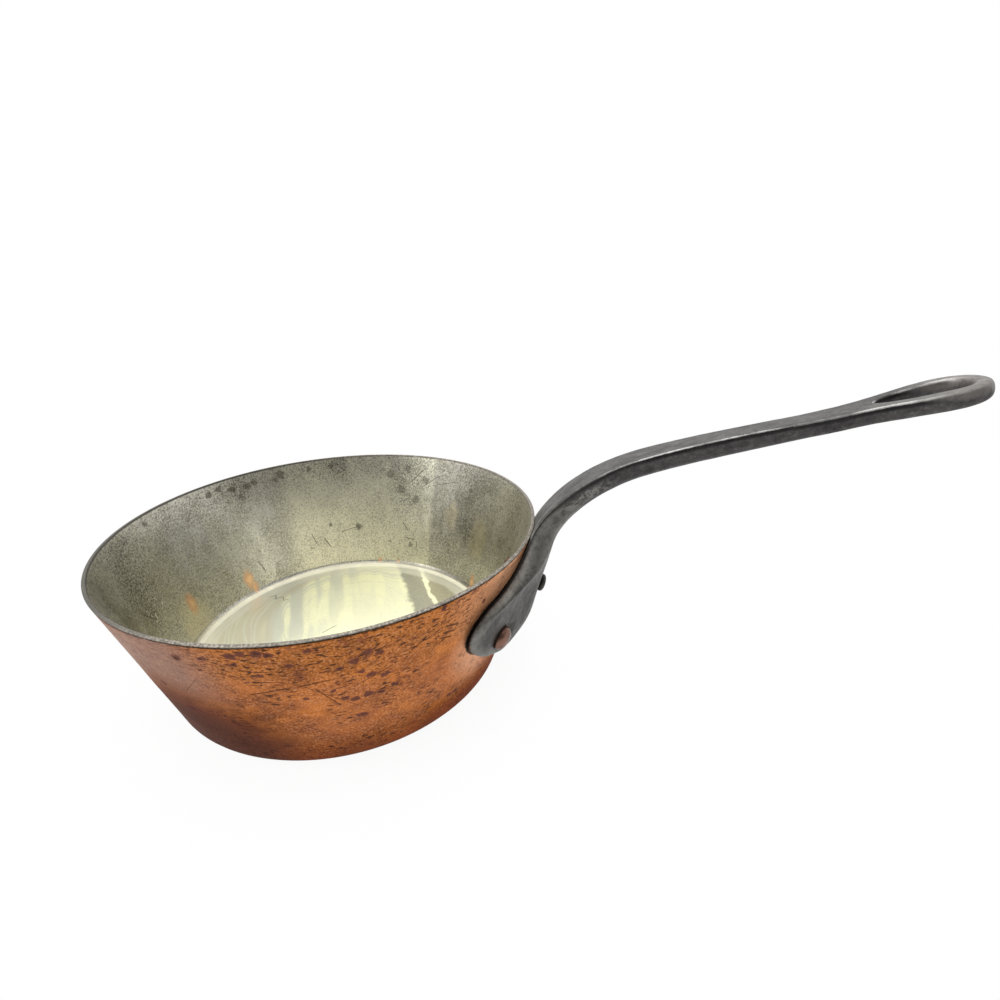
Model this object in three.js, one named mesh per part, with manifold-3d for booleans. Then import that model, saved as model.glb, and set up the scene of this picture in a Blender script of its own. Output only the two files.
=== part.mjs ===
// A copper windsor pan: a flared copper body lined with tin, an iron handle with a winged foot and a
// teardrop hanging loop, and three copper rivets that hold the handle on.
// Millimetres, +Z up. The origin is the centre of the base's underside, and the handle runs along +X.

import * as THREE from 'three';
import { mergeVertices } from 'three/addons/utils/BufferGeometryUtils.js';
import Module from 'manifold-3d';

const degrees = THREE.MathUtils.degToRad;

// Body
const RIM_RADIUS = 100; // outside, at the top edge
const BODY_HEIGHT = 72.3;
const WALL_FLARE = degrees(15); // from upright
const COPPER_WALL = 1.1;
const TIN_WALL = 0.4;
const BASE_CORNER = 8; // outside radius where the base turns up into the wall
const FIT_GAP = 0.3; // between two pieces that touch on the real pan
const BODY_SEGMENTS = 96;
const CORNER_STEPS = 2;

// Handle, in side view. Its line is its inner and top face: up the wall, round the bend, along the grip.
// Distances along it start at the rim and are negative down the wall.
const LEAVES_WALL = -1.9;
const BEND_REACH = 41.3; // from the rim's edge to the end of the bend
const BEND_RISE = 33.5;
const BEND_SLOPE = degrees(18.5);
const GRIP_REACH = 105.9; // from the rim's edge to where the hanging loop starts
const GRIP_RISE = 50.4;
const LOOP_SLOPE = degrees(16.6);
const BEND_PULLS = [0.276, 0.6]; // how far the bend runs on up the wall, and back from its end, by its reach
const GRIP_PULLS = [0.41, 0.22]; // the same for the grip, by its span
const FLATTENING_RUN = 30; // above the rim, where the handle's back turns from round to flat
const FLAT_SHARE = 1e-3; // of the wall's curve that is left in a flat back

// Handle sizes from the neck to the loop: fraction of the way, half width, depth.
const BAR_SIZES = [
  [0, 8.9, 9.2],
  [0.1, 8.85, 8.7],
  [0.2, 8.6, 8.3],
  [0.35, 7.4, 7.9],
  [0.58, 6.4, 7.45],
  [0.77, 5.8, 6.9],
  [0.89, 5.7, 6.2],
  [1, 6.2, 6],
];
const ARRIS = 0.7; // chamfer along the top edges of the iron
const FOOT_SQUARENESS = 6; // power of the section's rounded corners
const LOOP_SQUARENESS = 12;
const BACK_STEPS = 14;
const FRONT_STEPS = 16;
const FOOT_RINGS = 33;
const BAR_RINGS = 33;

// Hanging loop, as distances from its start
const LOOP_CENTRE = 28.2;
const LOOP_RADIUS = 11;
const EYE_TIP = 9;
const EYE_CENTRE = 29;
const EYE_RADIUS = 5.7;
const LOOP_PULLS = [0.45, 0.66]; // by the loop centre's distance, from the grip's side and from the loop's
const EYE_TIP_PULL = new THREE.Vector2(1, 0.56); // along, and to the side by the eye's radius
const EYE_SIDE_PULL = 0.57; // back from the eye's centre, by the eye's length
const CURVE_STEPS = 12;
const ARRIS_STEPS = 2;
const LOOP_OVERLAP = 4; // how far the grip runs on inside the loop's solid part
const LOOP_SHRINK = 0.4; // and how much thinner it ends there

// Foot, as distances round the wall from the handle's middle and along the handle's line
const FOOT_BOTTOM = -55;
const WING_CENTRE = new THREE.Vector2(39, -27.4);
const WING_RADIUS = 11.5;
const WING_ENDS = [degrees(-42), degrees(75)]; // where the round of a wing starts and ends
const WING_DEPTH = 3.7;
const BELLY = 0.45; // how far the bottom runs level, as a share of the way to the wings
const BOTTOM_ROUND = 3;
const BOTTOM_THINNING = 17; // the spine gets thinner over this length above the foot's bottom
const BOTTOM_SHARE = 0.45; // of the depth that is left at the bottom edge
const GATHERING_START = 8; // above the middle of the wings, where they gather into the neck
const SPINE_DEPTH = 10; // along the middle of the foot
const SPINE_SPREAD = 20; // how far that depth reaches to the sides
const NECK_TOP = 8;
const NECK_SWEEP = 15; // length over which the foot sweeps in to the neck

// Rivets
const SHANK_RADIUS = 2.9;
const SIDE_HEAD = { radius: 5.3, height: 3.9 };
const MIDDLE_HEAD = { radius: 3.9, height: 2.5 };
const TAIL = { radius: 5.3, height: 1.8 };
const DOME_EDGE = 0.4; // upright edge under each dome
const SEAT_MARGIN = 0.5; // the flat under a head is this much wider than the head
const SIDE_RIVET_SPREAD = 28.5; // round the wall
const SIDE_RIVET_PLACE = -38.5; // along the handle's line
const MIDDLE_RIVET_PLACE = -26;
const ROUND_SEGMENTS = 24;
const DOME_STEPS = 3;

const SAME_POINT = 1e-4; // corners nearer than this are one

const wasm = await Module();
wasm.setup();

// Solids

function signedVolume(position, faces) {
  const corner = [new THREE.Vector3(), new THREE.Vector3(), new THREE.Vector3()];
  let volume = 0;
  for (let i = 0; i < faces.length; i += 3) {
    corner.forEach((point, k) => point.fromBufferAttribute(position, faces[i + k]));
    volume += corner[0].dot(corner[1].clone().cross(corner[2])) / 6;
  }
  return volume;
}

// Turns a closed geometry into a solid, with shared corners merged, slivers dropped and faces outward.
function solidOf(geometry, matrix = new THREE.Matrix4()) {
  const bare = new THREE.BufferGeometry();
  bare.setAttribute('position', geometry.getAttribute('position').clone());
  if (geometry.index) bare.setIndex(geometry.index.clone());
  const merged = mergeVertices(bare.applyMatrix4(matrix), SAME_POINT);
  const index = merged.index.array;
  const faces = [];
  for (let i = 0; i < index.length; i += 3) {
    const [a, b, c] = [index[i], index[i + 1], index[i + 2]];
    if (a !== b && b !== c && c !== a) faces.push(a, b, c);
  }
  if (signedVolume(merged.getAttribute('position'), faces) < 0) faces.reverse();
  return new wasm.Manifold(new wasm.Mesh({
    numProp: 3,
    vertProperties: new Float32Array(merged.getAttribute('position').array),
    triVerts: new Uint32Array(faces),
  }));
}

function namedMesh(name, solid, finish) {
  const { vertProperties, triVerts } = solid.getMesh();
  const geometry = new THREE.BufferGeometry();
  geometry.setAttribute('position', new THREE.BufferAttribute(new Float32Array(vertProperties), 3));
  geometry.setIndex(new THREE.BufferAttribute(new Uint32Array(triVerts), 1));
  geometry.computeVertexNormals();
  const mesh = new THREE.Mesh(geometry, new THREE.MeshStandardMaterial(finish));
  mesh.name = name;
  return mesh;
}

// Body, in profiles of (radius, height)

const rimEdge = new THREE.Vector2(RIM_RADIUS, BODY_HEIGHT);
const upWall = new THREE.Vector2(Math.sin(WALL_FLARE), Math.cos(WALL_FLARE));
const outOfWall = new THREE.Vector2(Math.cos(WALL_FLARE), -Math.sin(WALL_FLARE));
const liningBack = COPPER_WALL + FIT_GAP;
const bodyWall = liningBack + TIN_WALL;

// The point at a distance along the wall from the rim, moved straight out of the wall by offset.
function onWall(distance, offset = 0) {
  return rimEdge.clone().addScaledVector(upWall, distance).addScaledVector(outOfWall, offset);
}

// A line from the axis along the base, round the corner and up the wall, a depth inside the outer surface.
function bodyLine(depth, belowRim) {
  const radius = BASE_CORNER - depth;
  const end = onWall(-belowRim, -depth);
  const wallMeetsFloor = end.x - (end.y - depth) * Math.tan(WALL_FLARE);
  const turn = Math.PI / 2 - WALL_FLARE;
  const floorRadius = wallMeetsFloor - radius * Math.tan(turn / 2);
  const line = new THREE.Path();
  line.moveTo(0, depth);
  line.lineTo(floorRadius, depth);
  line.absarc(floorRadius, depth + radius, radius, -Math.PI / 2, -WALL_FLARE, false);
  line.lineTo(end.x, end.y);
  return line.getPoints(CORNER_STEPS);
}

function turned(profile) {
  return solidOf(new THREE.LatheGeometry(profile, BODY_SEGMENTS).rotateX(Math.PI / 2));
}

function copperBody() {
  const belowRim = TIN_WALL + FIT_GAP;
  return turned([...bodyLine(0, belowRim), ...bodyLine(COPPER_WALL, belowRim).reverse()]);
}

// The tin covers the floor, the wall and the rim's cut edge.
function tinLining() {
  const lip = [onWall(-TIN_WALL), onWall(0)];
  return turned([...bodyLine(liningBack, TIN_WALL), ...lip, ...bodyLine(bodyWall, 0).reverse()]);
}

// Handle

// Depth of the foot at a distance from its middle.
function footDepth(across, edge, spine) {
  return edge + (spine - edge) * Math.exp(-(Math.abs(across / SPINE_SPREAD) ** 3));
}

const loopStart = new THREE.Vector2(RIM_RADIUS + GRIP_REACH, BODY_HEIGHT + GRIP_RISE);
const loopAlong = new THREE.Vector2(Math.cos(LOOP_SLOPE), Math.sin(LOOP_SLOPE));
const loopDepth = BAR_SIZES.at(-1)[2];

function handleLine() {
  const bendStart = onWall(LEAVES_WALL, FIT_GAP);
  const bendEnd = new THREE.Vector2(RIM_RADIUS + BEND_REACH, BODY_HEIGHT + BEND_RISE);
  const bendAlong = new THREE.Vector2(Math.cos(BEND_SLOPE), Math.sin(BEND_SLOPE));
  const bend = new THREE.CubicBezierCurve(
    bendStart,
    bendStart.clone().addScaledVector(upWall, BEND_REACH * BEND_PULLS[0]),
    bendEnd.clone().addScaledVector(bendAlong, -BEND_REACH * BEND_PULLS[1]),
    bendEnd,
  );
  const gripSpan = GRIP_REACH - BEND_REACH;
  const grip = new THREE.CubicBezierCurve(
    bendEnd,
    bendEnd.clone().addScaledVector(bendAlong, gripSpan * GRIP_PULLS[0]),
    loopStart.clone().addScaledVector(loopAlong, -gripSpan * GRIP_PULLS[1]),
    loopStart,
  );
  const line = new THREE.CurvePath();
  line.add(new THREE.LineCurve(onWall(FOOT_BOTTOM, FIT_GAP), bendStart));
  line.add(bend);
  line.add(grip);
  line.add(new THREE.LineCurve(loopStart, loopStart.clone().addScaledVector(loopAlong, LOOP_OVERLAP)));
  return line;
}

// Half of the foot's outline, as (distance round the wall, distance along the line), from bottom to neck.
function footOutline() {
  const [lowTurn, highTurn] = WING_ENDS;
  const onWing = (turn) => new THREE.Vector2(Math.cos(turn), Math.sin(turn));
  const low = WING_CENTRE.clone().addScaledVector(onWing(lowTurn), WING_RADIUS);
  const high = WING_CENTRE.clone().addScaledVector(onWing(highTurn), WING_RADIUS);
  const lowPull = low.clone().addScaledVector(onWing(lowTurn + Math.PI / 2), -WING_RADIUS);
  const highPull = high.clone().addScaledVector(onWing(highTurn + Math.PI / 2), WING_RADIUS);
  const neck = new THREE.Vector2(BAR_SIZES[0][1], NECK_TOP);
  const outline = new THREE.Path();
  outline.moveTo(0, FOOT_BOTTOM);
  outline.bezierCurveTo(low.x * BELLY, FOOT_BOTTOM, lowPull.x, lowPull.y, low.x, low.y);
  outline.absarc(WING_CENTRE.x, WING_CENTRE.y, WING_RADIUS, lowTurn, highTurn, false);
  outline.bezierCurveTo(highPull.x, highPull.y, neck.x, neck.y - NECK_SWEEP, neck.x, neck.y);
  return outline.getSpacedPoints(FOOT_RINGS);
}

// One cross-section. Its back follows a circle of backRadius, and its front stands out from it by depth in
// the middle and by edge at its sides.
function crossSection({ place, out, halfWidth, depth, edge, backRadius, squareness }) {
  const point = (across, away) => {
    const turn = across / backRadius;
    const reach = backRadius + away * out.x;
    const forward = place.x - backRadius + reach * Math.cos(turn);
    return new THREE.Vector3(forward, reach * Math.sin(turn), place.y + away * out.y);
  };
  const points = [];
  const backHalf = Math.max(halfWidth - ARRIS, halfWidth / 2);
  for (let i = 0; i <= BACK_STEPS; i += 1) {
    points.push(point(THREE.MathUtils.lerp(-backHalf, backHalf, i / BACK_STEPS), 0));
  }
  for (let i = 0; i <= FRONT_STEPS; i += 1) {
    const angle = Math.PI * i / FRONT_STEPS;
    const across = halfWidth * Math.sign(Math.cos(angle)) * Math.abs(Math.cos(angle)) ** (2 / squareness);
    const front = footDepth(across, edge, depth);
    const arris = Math.min(ARRIS, front / 2);
    points.push(point(across, arris + (front - arris) * Math.sin(angle) ** (2 / squareness)));
  }
  return points;
}

// Joins closed rings of equal count, with a flat cap at each end.
function lofted(rings) {
  const count = rings[0].length;
  const positions = rings.flat().flatMap((point) => point.toArray());
  const faces = [];
  const next = (i) => (i + 1) % count;
  for (let ring = 0; ring + 1 < rings.length; ring += 1) {
    for (let i = 0; i < count; i += 1) {
      const a = ring * count + i;
      const b = ring * count + next(i);
      faces.push(a, b, b + count, a, b + count, a + count);
    }
  }
  for (const ring of [0, rings.length - 1]) {
    const centre = positions.length / 3;
    const middle = rings[ring].reduce((sum, point) => sum.add(point), new THREE.Vector3());
    positions.push(...middle.divideScalar(count).toArray());
    for (let i = 0; i < count; i += 1) {
      const rim = [ring * count + i, ring * count + next(i)];
      faces.push(centre, ...(ring === 0 ? rim.reverse() : rim));
    }
  }
  const geometry = new THREE.BufferGeometry();
  geometry.setAttribute('position', new THREE.Float32BufferAttribute(positions, 3));
  geometry.setIndex(faces);
  return solidOf(geometry);
}

// Foot, bend and grip in one run of cross-sections.
function handleBar() {
  const line = handleLine();
  const length = line.getLength();
  const loopDistance = FOOT_BOTTOM + length - LOOP_OVERLAP;
  const { lerp, smoothstep } = THREE.MathUtils;

  const section = (distance, halfWidth, depth, edge, squareness) => {
    const along = Math.min((distance - FOOT_BOTTOM) / length, 1);
    const place = line.getPoint(along);
    const tangent = line.getTangent(along);
    const flattening = smoothstep(distance, 0, FLATTENING_RUN);
    return crossSection({
      place,
      out: new THREE.Vector2(tangent.y, -tangent.x),
      halfWidth,
      depth,
      edge,
      backRadius: place.x / Math.max(1 - flattening, FLAT_SHARE),
      squareness,
    });
  };

  const rings = [];
  for (const { x: halfWidth, y: distance } of footOutline().slice(1)) {
    const up = distance - FOOT_BOTTOM;
    const rounded = lerp(BOTTOM_SHARE, 1, Math.sqrt(1 - Math.max(1 - up / BOTTOM_ROUND, 0) ** 2));
    const thickening = smoothstep(up, -BOTTOM_ROUND * 3, BOTTOM_THINNING);
    const gathering = smoothstep(distance, WING_CENTRE.y + GATHERING_START, NECK_TOP);
    const spine = lerp(WING_DEPTH, lerp(SPINE_DEPTH, BAR_SIZES[0][2], gathering), thickening);
    const edge = lerp(WING_DEPTH, spine, gathering);
    rings.push(section(distance, halfWidth, spine * rounded, edge * rounded, FOOT_SQUARENESS));
  }

  const sizes = new THREE.CubicInterpolant(
    BAR_SIZES.map(([fraction]) => fraction),
    BAR_SIZES.flatMap(([, halfWidth, depth]) => [halfWidth, depth]),
    2,
    new Float32Array(2),
  );
  for (let i = 1; i <= BAR_RINGS; i += 1) {
    const share = i / BAR_RINGS;
    const distance = lerp(NECK_TOP, loopDistance, share);
    const [halfWidth, depth] = sizes.evaluate(share);
    rings.push(section(distance, halfWidth, depth, depth, lerp(FOOT_SQUARENESS, LOOP_SQUARENESS, share)));
  }
  const [endHalfWidth, endDepth] = BAR_SIZES.at(-1).slice(1).map((size) => size - LOOP_SHRINK);
  rings.push(section(loopDistance + LOOP_OVERLAP, endHalfWidth, endDepth, endDepth, LOOP_SQUARENESS));
  return lofted(rings);
}

// The hanging loop: a teardrop with a teardrop eye, lying in the plane of the grip's top face.
function hangingLoop() {
  const startHalf = BAR_SIZES.at(-1)[1];
  const [waist, shoulder] = LOOP_PULLS.map((pull) => LOOP_CENTRE * pull);
  const outline = new THREE.Shape();
  outline.moveTo(0, -startHalf);
  outline.bezierCurveTo(waist, -startHalf, shoulder, -LOOP_RADIUS, LOOP_CENTRE, -LOOP_RADIUS);
  outline.absarc(LOOP_CENTRE, 0, LOOP_RADIUS, -Math.PI / 2, Math.PI / 2, false);
  outline.bezierCurveTo(shoulder, LOOP_RADIUS, waist, startHalf, 0, startHalf);
  outline.closePath();

  const eyeLength = EYE_CENTRE - EYE_TIP;
  const [tipPull, tipSpread] = [EYE_TIP + EYE_TIP_PULL.x, EYE_RADIUS * EYE_TIP_PULL.y];
  const sidePull = EYE_CENTRE - eyeLength * EYE_SIDE_PULL;
  const eye = new THREE.Path();
  eye.moveTo(EYE_TIP, 0);
  eye.bezierCurveTo(tipPull, tipSpread, sidePull, EYE_RADIUS, EYE_CENTRE, EYE_RADIUS);
  eye.absarc(EYE_CENTRE, 0, EYE_RADIUS, Math.PI / 2, -Math.PI / 2, true);
  eye.bezierCurveTo(sidePull, -EYE_RADIUS, tipPull, -tipSpread, EYE_TIP, 0);
  outline.holes.push(eye);

  const geometry = new THREE.ExtrudeGeometry(outline, {
    depth: loopDepth - 2 * ARRIS,
    curveSegments: CURVE_STEPS,
    bevelThickness: ARRIS,
    bevelSize: ARRIS,
    bevelOffset: -ARRIS,
    bevelSegments: ARRIS_STEPS,
  });
  geometry.translate(0, 0, ARRIS);
  const along = new THREE.Vector3(loopAlong.x, 0, loopAlong.y);
  const across = new THREE.Vector3(0, 1, 0);
  const down = new THREE.Vector3(loopAlong.y, 0, -loopAlong.x);
  const frame = new THREE.Matrix4().makeBasis(along, across, down);
  return solidOf(geometry, frame.setPosition(loopStart.x, 0, loopStart.y));
}

// Rivets

// A rivet's place, and the depth of the flat that its head sits on: the foot's least depth under the head.
function rivetSite(across, distance, head) {
  const seat = footDepth(Math.abs(across) + head.radius, WING_DEPTH, SPINE_DEPTH) + FIT_GAP;
  return { azimuth: across / onWall(distance).x, distance, seat, head };
}

const rivetSites = {
  rivet_middle: rivetSite(0, MIDDLE_RIVET_PLACE, MIDDLE_HEAD),
  rivet_left: rivetSite(SIDE_RIVET_SPREAD, SIDE_RIVET_PLACE, SIDE_HEAD),
  rivet_right: rivetSite(-SIDE_RIVET_SPREAD, SIDE_RIVET_PLACE, SIDE_HEAD),
};

// A rivet's own frame: origin on the wall's outside, +Y straight out of the wall.
function rivetFrame({ azimuth, distance }) {
  const upright = new THREE.Vector3(0, 0, 1);
  const { x, y } = onWall(distance);
  const out = new THREE.Vector3(outOfWall.x, 0, outOfWall.y).applyAxisAngle(upright, azimuth);
  const turn = new THREE.Quaternion().setFromUnitVectors(new THREE.Vector3(0, 1, 0), out);
  const origin = new THREE.Vector3(x, 0, y).applyAxisAngle(upright, azimuth);
  return new THREE.Matrix4().compose(origin, turn, new THREE.Vector3(1, 1, 1));
}

// A domed head outside, a low tinned tail inside, and the shank between them.
function rivet({ distance, seat, head, azimuth }) {
  const headUnder = seat + FIT_GAP;
  const curveOfWall = TAIL.radius ** 2 / (2 * (onWall(distance).x - bodyWall));
  const tailUnder = -(bodyWall + FIT_GAP + curveOfWall);
  const quarter = Math.PI / 2;
  const profile = new THREE.Path();
  profile.moveTo(0, tailUnder - TAIL.height);
  profile.absellipse(0, tailUnder - DOME_EDGE, TAIL.radius, TAIL.height - DOME_EDGE, -quarter, 0, false, 0);
  profile.lineTo(TAIL.radius, tailUnder);
  profile.lineTo(SHANK_RADIUS, tailUnder);
  profile.lineTo(SHANK_RADIUS, headUnder);
  profile.lineTo(head.radius, headUnder);
  profile.absellipse(0, headUnder + DOME_EDGE, head.radius, head.height - DOME_EDGE, 0, quarter, false, 0);
  const geometry = new THREE.LatheGeometry(profile.getPoints(DOME_STEPS), ROUND_SEGMENTS);
  return solidOf(geometry, rivetFrame({ azimuth, distance }));
}

// A cylinder along a rivet's axis, from one distance out of the wall to another.
function drill(site, radius, from, to) {
  const geometry = new THREE.CylinderGeometry(radius, radius, to - from, ROUND_SEGMENTS);
  return solidOf(geometry.translate(0, (from + to) / 2, 0), rivetFrame(site));
}

const clearOfHandle = 2 * SPINE_DEPTH;

function withHoles(solid) {
  for (const site of Object.values(rivetSites)) {
    solid = solid.subtract(drill(site, SHANK_RADIUS + FIT_GAP, -2 * bodyWall, clearOfHandle));
  }
  return solid;
}

function withSeats(solid) {
  for (const site of Object.values(rivetSites)) {
    solid = solid.subtract(drill(site, site.head.radius + SEAT_MARGIN, site.seat, clearOfHandle));
  }
  return solid;
}

// The pan

const copper = { color: 0xb8704a, roughness: 0.38, metalness: 1 };
const tin = { color: 0xa8a595, roughness: 0.35, metalness: 1 };
const iron = { color: 0x55524f, roughness: 0.55, metalness: 0.8 };
const rivetCopper = { color: 0x8a5a48, roughness: 0.5, metalness: 1 };

const pan = new THREE.Group();
pan.add(namedMesh('copper_body', withHoles(copperBody()), copper));
pan.add(namedMesh('tin_lining', withHoles(tinLining()), tin));
pan.add(namedMesh('iron_handle', withSeats(withHoles(handleBar().add(hangingLoop()))), iron));
for (const [name, site] of Object.entries(rivetSites)) {
  pan.add(namedMesh(name, rivet(site), rivetCopper));
}

export default pan;
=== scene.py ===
# %% [markdown]
# # A copper windsor pan
#
# A windsor pan is a small saucepan whose wall flares out, so that a sauce boils down fast and a whisk reaches
# every corner. This one is old: its copper is stained, its tin lining is grey and worn, and its iron handle
# is polished along the edges by the hands that held it.
#
# The pan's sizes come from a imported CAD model, which this lesson loads as a fixed frame. Each piece is then
# modelled again with a smoother, fuller mesh in the same place, and gets a finish made of shader nodes only.

# %% Load the frame
import functools
import math
import operator

import bmesh
import bpy
import numpy as np
from mathutils import Matrix, Vector, geometry, kdtree, noise


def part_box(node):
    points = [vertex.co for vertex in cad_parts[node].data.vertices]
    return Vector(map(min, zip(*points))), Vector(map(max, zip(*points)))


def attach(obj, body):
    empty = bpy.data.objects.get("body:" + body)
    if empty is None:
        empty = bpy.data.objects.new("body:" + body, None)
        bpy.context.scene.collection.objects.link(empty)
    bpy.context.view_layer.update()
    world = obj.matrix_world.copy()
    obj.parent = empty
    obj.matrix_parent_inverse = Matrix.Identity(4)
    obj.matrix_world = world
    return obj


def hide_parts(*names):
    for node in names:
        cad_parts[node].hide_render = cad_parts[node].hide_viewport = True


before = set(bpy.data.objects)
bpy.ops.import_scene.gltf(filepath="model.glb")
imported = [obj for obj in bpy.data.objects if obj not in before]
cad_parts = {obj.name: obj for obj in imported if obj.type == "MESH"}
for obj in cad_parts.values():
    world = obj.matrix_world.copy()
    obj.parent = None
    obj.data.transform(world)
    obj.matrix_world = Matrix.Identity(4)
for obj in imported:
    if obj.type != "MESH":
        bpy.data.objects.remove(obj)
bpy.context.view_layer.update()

MM = 0.001

for node in sorted(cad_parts):
    low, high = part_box(node)
    print(node, "is", [round(side / MM, 1) for side in high - low], "mm")

# %% [markdown]
# ## The camera
#
# The photograph was taken close by with a wide lens, so the near side of the rim looks much larger than the
# far side. A long lens could never repeat that. The camera stands where the photographer's did, about 26 cm
# from the middle of the rim, and its small shift and roll give the pan its place in the picture.

# %% Camera


def add_object(name, data):
    thing = bpy.data.objects.new(name, data)
    bpy.context.scene.collection.objects.link(thing)
    return thing


CAMERA_PLACE = Vector((118.55, -205.34, 168.22)) * MM
CAMERA_HEADING = math.radians(15.62)
CAMERA_PITCH = math.radians(-22.67)
CAMERA_ROLL = math.radians(-3.66)
CAMERA_LENS = 18.54
CAMERA_SHIFT = (0.0535, 0.0079)


def make_camera():
    camera = add_object("camera", bpy.data.cameras.new("camera"))
    camera.data.sensor_width = 36
    camera.data.lens = CAMERA_LENS
    camera.data.shift_x, camera.data.shift_y = CAMERA_SHIFT
    camera.data.clip_start = 0.01
    turn = Matrix.Rotation(CAMERA_HEADING, 4, "Z") @ Matrix.Rotation(math.pi / 2 + CAMERA_PITCH, 4, "X")
    camera.matrix_world = Matrix.Translation(CAMERA_PLACE) @ turn @ Matrix.Rotation(CAMERA_ROLL, 4, "Z")
    bpy.context.scene.camera = camera


make_camera()

# %% [markdown]
# ## Sizes
#
# All lengths are in millimetres, as on a maker's drawing, and become metres when a mesh is finished. The wall
# is a straight line that leans out by the flare, and most of the pan is placed by the distance along it.

# %% Sizes of the body
BODY_HEIGHT = 72.3
WALL_FLARE = math.radians(15)
WALL = 1.5  # copper and tin together
COPPER = 1.12
TIN_EDGE = 0.28  # the tin that covers the copper's cut edge at the rim
BASE_CORNER = 8
INNER_CORNER = 1.6
RIM_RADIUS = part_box("tin_lining")[1].x / MM

RIM_EDGE = Vector((RIM_RADIUS, BODY_HEIGHT))
UP_WALL = Vector((math.sin(WALL_FLARE), math.cos(WALL_FLARE)))
OUT_OF_WALL = Vector((math.cos(WALL_FLARE), -math.sin(WALL_FLARE)))


def on_wall(along, out=0.0):
    """A point of the wall in side view, as (radius, height): along from the rim, and out from its outside."""
    return RIM_EDGE + UP_WALL * along + OUT_OF_WALL * out


def smoothstep(low, high, value):
    t = min(max((value - low) / (high - low), 0), 1)
    return t * t * (3 - 2 * t)


def lerp(a, b, t):
    return a + (b - a) * t


print("rim radius", round(RIM_RADIUS, 2), "mm, foot of the wall at", round(on_wall(-BODY_HEIGHT).x, 1), "mm")

# %% [markdown]
# ## Helpers for pieces
#
# A finished piece keeps its object at the origin, with its place in its mesh, and rides on the body that
# carries it. The pan has no joints, so that body is always the root.

# %% Piece helper


def finish_piece(bm, name, slot, *nodes):
    """Turns a bmesh in millimetres into a smooth piece that stands for CAD nodes."""
    bmesh.ops.recalc_face_normals(bm, faces=bm.faces)
    bmesh.ops.scale(bm, vec=(MM, MM, MM), verts=bm.verts)
    mesh = bpy.data.meshes.new(name)
    bm.to_mesh(mesh)
    bm.free()
    mesh.shade_smooth()
    piece = add_object(name, mesh)
    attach(piece, "root")
    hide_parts(*nodes)
    print(name, "has", len(mesh.vertices), "vertices")
    return piece


# %% [markdown]
# ## The copper body and its lining
#
# The body of such a pan is a disc of sheet copper that was raised over a form, planished and trimmed. The tin
# was wiped on inside while molten and covers the cut edge of the rim. Both are round, so both are profiles
# spun about the upright axis: a few corners, the base corner rounded with a vertex bevel, long lines
# subdivided so that the sheet can be dented afterwards.
#
# The dents are real geometry. Hammer work leaves shallow flats that a smooth cone never has, and they are
# what breaks the reflections up.

# %% Spun shells
TURNS = 256
ROW_LENGTH = 2.2
CORNER_STEPS = 8
MERGE = 1e-5  # vertices nearer than this are one
ON_AXIS = 1e-6  # a vertex that is nearer to the axis than this counts as lying on it
COPPER_TUCK = 0.15  # how far the copper's edge stays below the tin's lip
TIN_STANDOFF = 0.04  # between the copper's inside and the tin's back
LIP_OUTER_ROUND, LIP_INNER_ROUND = 0.2, 0.45
DENT_DEPTH = 0.09
DENT_SIZE = 13.0
FINER_DENTS = (2.3, 0.5)  # how many times smaller the second lot of dents is, and how deep beside the first
DENTS_BELOW_RIM = (0, 12)  # the dents fade in over this stretch below the rim
DENTS_ABOVE_BASE = (3, 14)


def profile(corners, closed):
    """A bmesh with the edges between (radius, height) corners, and its vertices."""
    bm = bmesh.new()
    verts = [bm.verts.new((radius, 0, height)) for radius, height in corners]
    for pair in zip(verts, verts[1:] + verts[:1] if closed else verts[1:]):
        bm.edges.new(pair)
    return bm, verts


def spin(bm, turns, merge):
    """Turns a profile once round the upright axis."""
    bmesh.ops.spin(bm, geom=bm.verts[:] + bm.edges[:], cent=(0, 0, 0), axis=(0, 0, 1),
                   angle=math.tau, steps=turns, use_merge=True)
    bmesh.ops.remove_doubles(bm, verts=bm.verts, dist=merge)


def spun(corners, rounding):
    """Spins a closed profile. rounding maps a corner's number to its radius."""
    bm, verts = profile(corners, closed=True)
    for number, radius in rounding.items():
        before, here, after = (Vector(corners[(number + step) % len(corners)]) for step in (-1, 0, 1))
        turn = math.pi - (before - here).angle(after - here)
        tangent = radius * math.tan(turn / 2)
        bmesh.ops.bevel(bm, geom=[verts[number]], offset=tangent, offset_type="OFFSET",
                        affect="VERTICES", segments=CORNER_STEPS, profile=0.5, material=-1)
    axis_edges = [edge for edge in bm.edges if all(vert.co.x < ON_AXIS for vert in edge.verts)]
    bmesh.ops.delete(bm, geom=axis_edges, context="EDGES_FACES")
    for edge in list(bm.edges):
        rows = round(edge.calc_length() / ROW_LENGTH)
        if rows > 1:
            bmesh.ops.subdivide_edges(bm, edges=[edge], cuts=rows - 1)
    spin(bm, TURNS, MERGE)
    return bm


def dent(bm):
    """Presses shallow hammer flats into a shell, the same ones on the copper and on the tin behind it."""
    finer, shallower = FINER_DENTS
    for vert in bm.verts:
        radius = math.hypot(vert.co.x, vert.co.y)
        if radius < ON_AXIS:
            continue
        below_rim = smoothstep(*DENTS_BELOW_RIM, BODY_HEIGHT - vert.co.z)
        fade = below_rim * smoothstep(*DENTS_ABOVE_BASE, vert.co.z)
        place = vert.co / DENT_SIZE
        depth = DENT_DEPTH * fade * (noise.noise(place) + shallower * noise.noise(place * finer))
        vert.co.x -= depth * vert.co.x / radius
        vert.co.y -= depth * vert.co.y / radius


def wall_foot(depth):
    """Where a line at depth inside the wall's outside meets the line at the same depth above the base."""
    place = on_wall(-(BODY_HEIGHT - depth) / math.cos(WALL_FLARE))
    return Vector((place.x - depth / math.cos(WALL_FLARE), depth))


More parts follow.
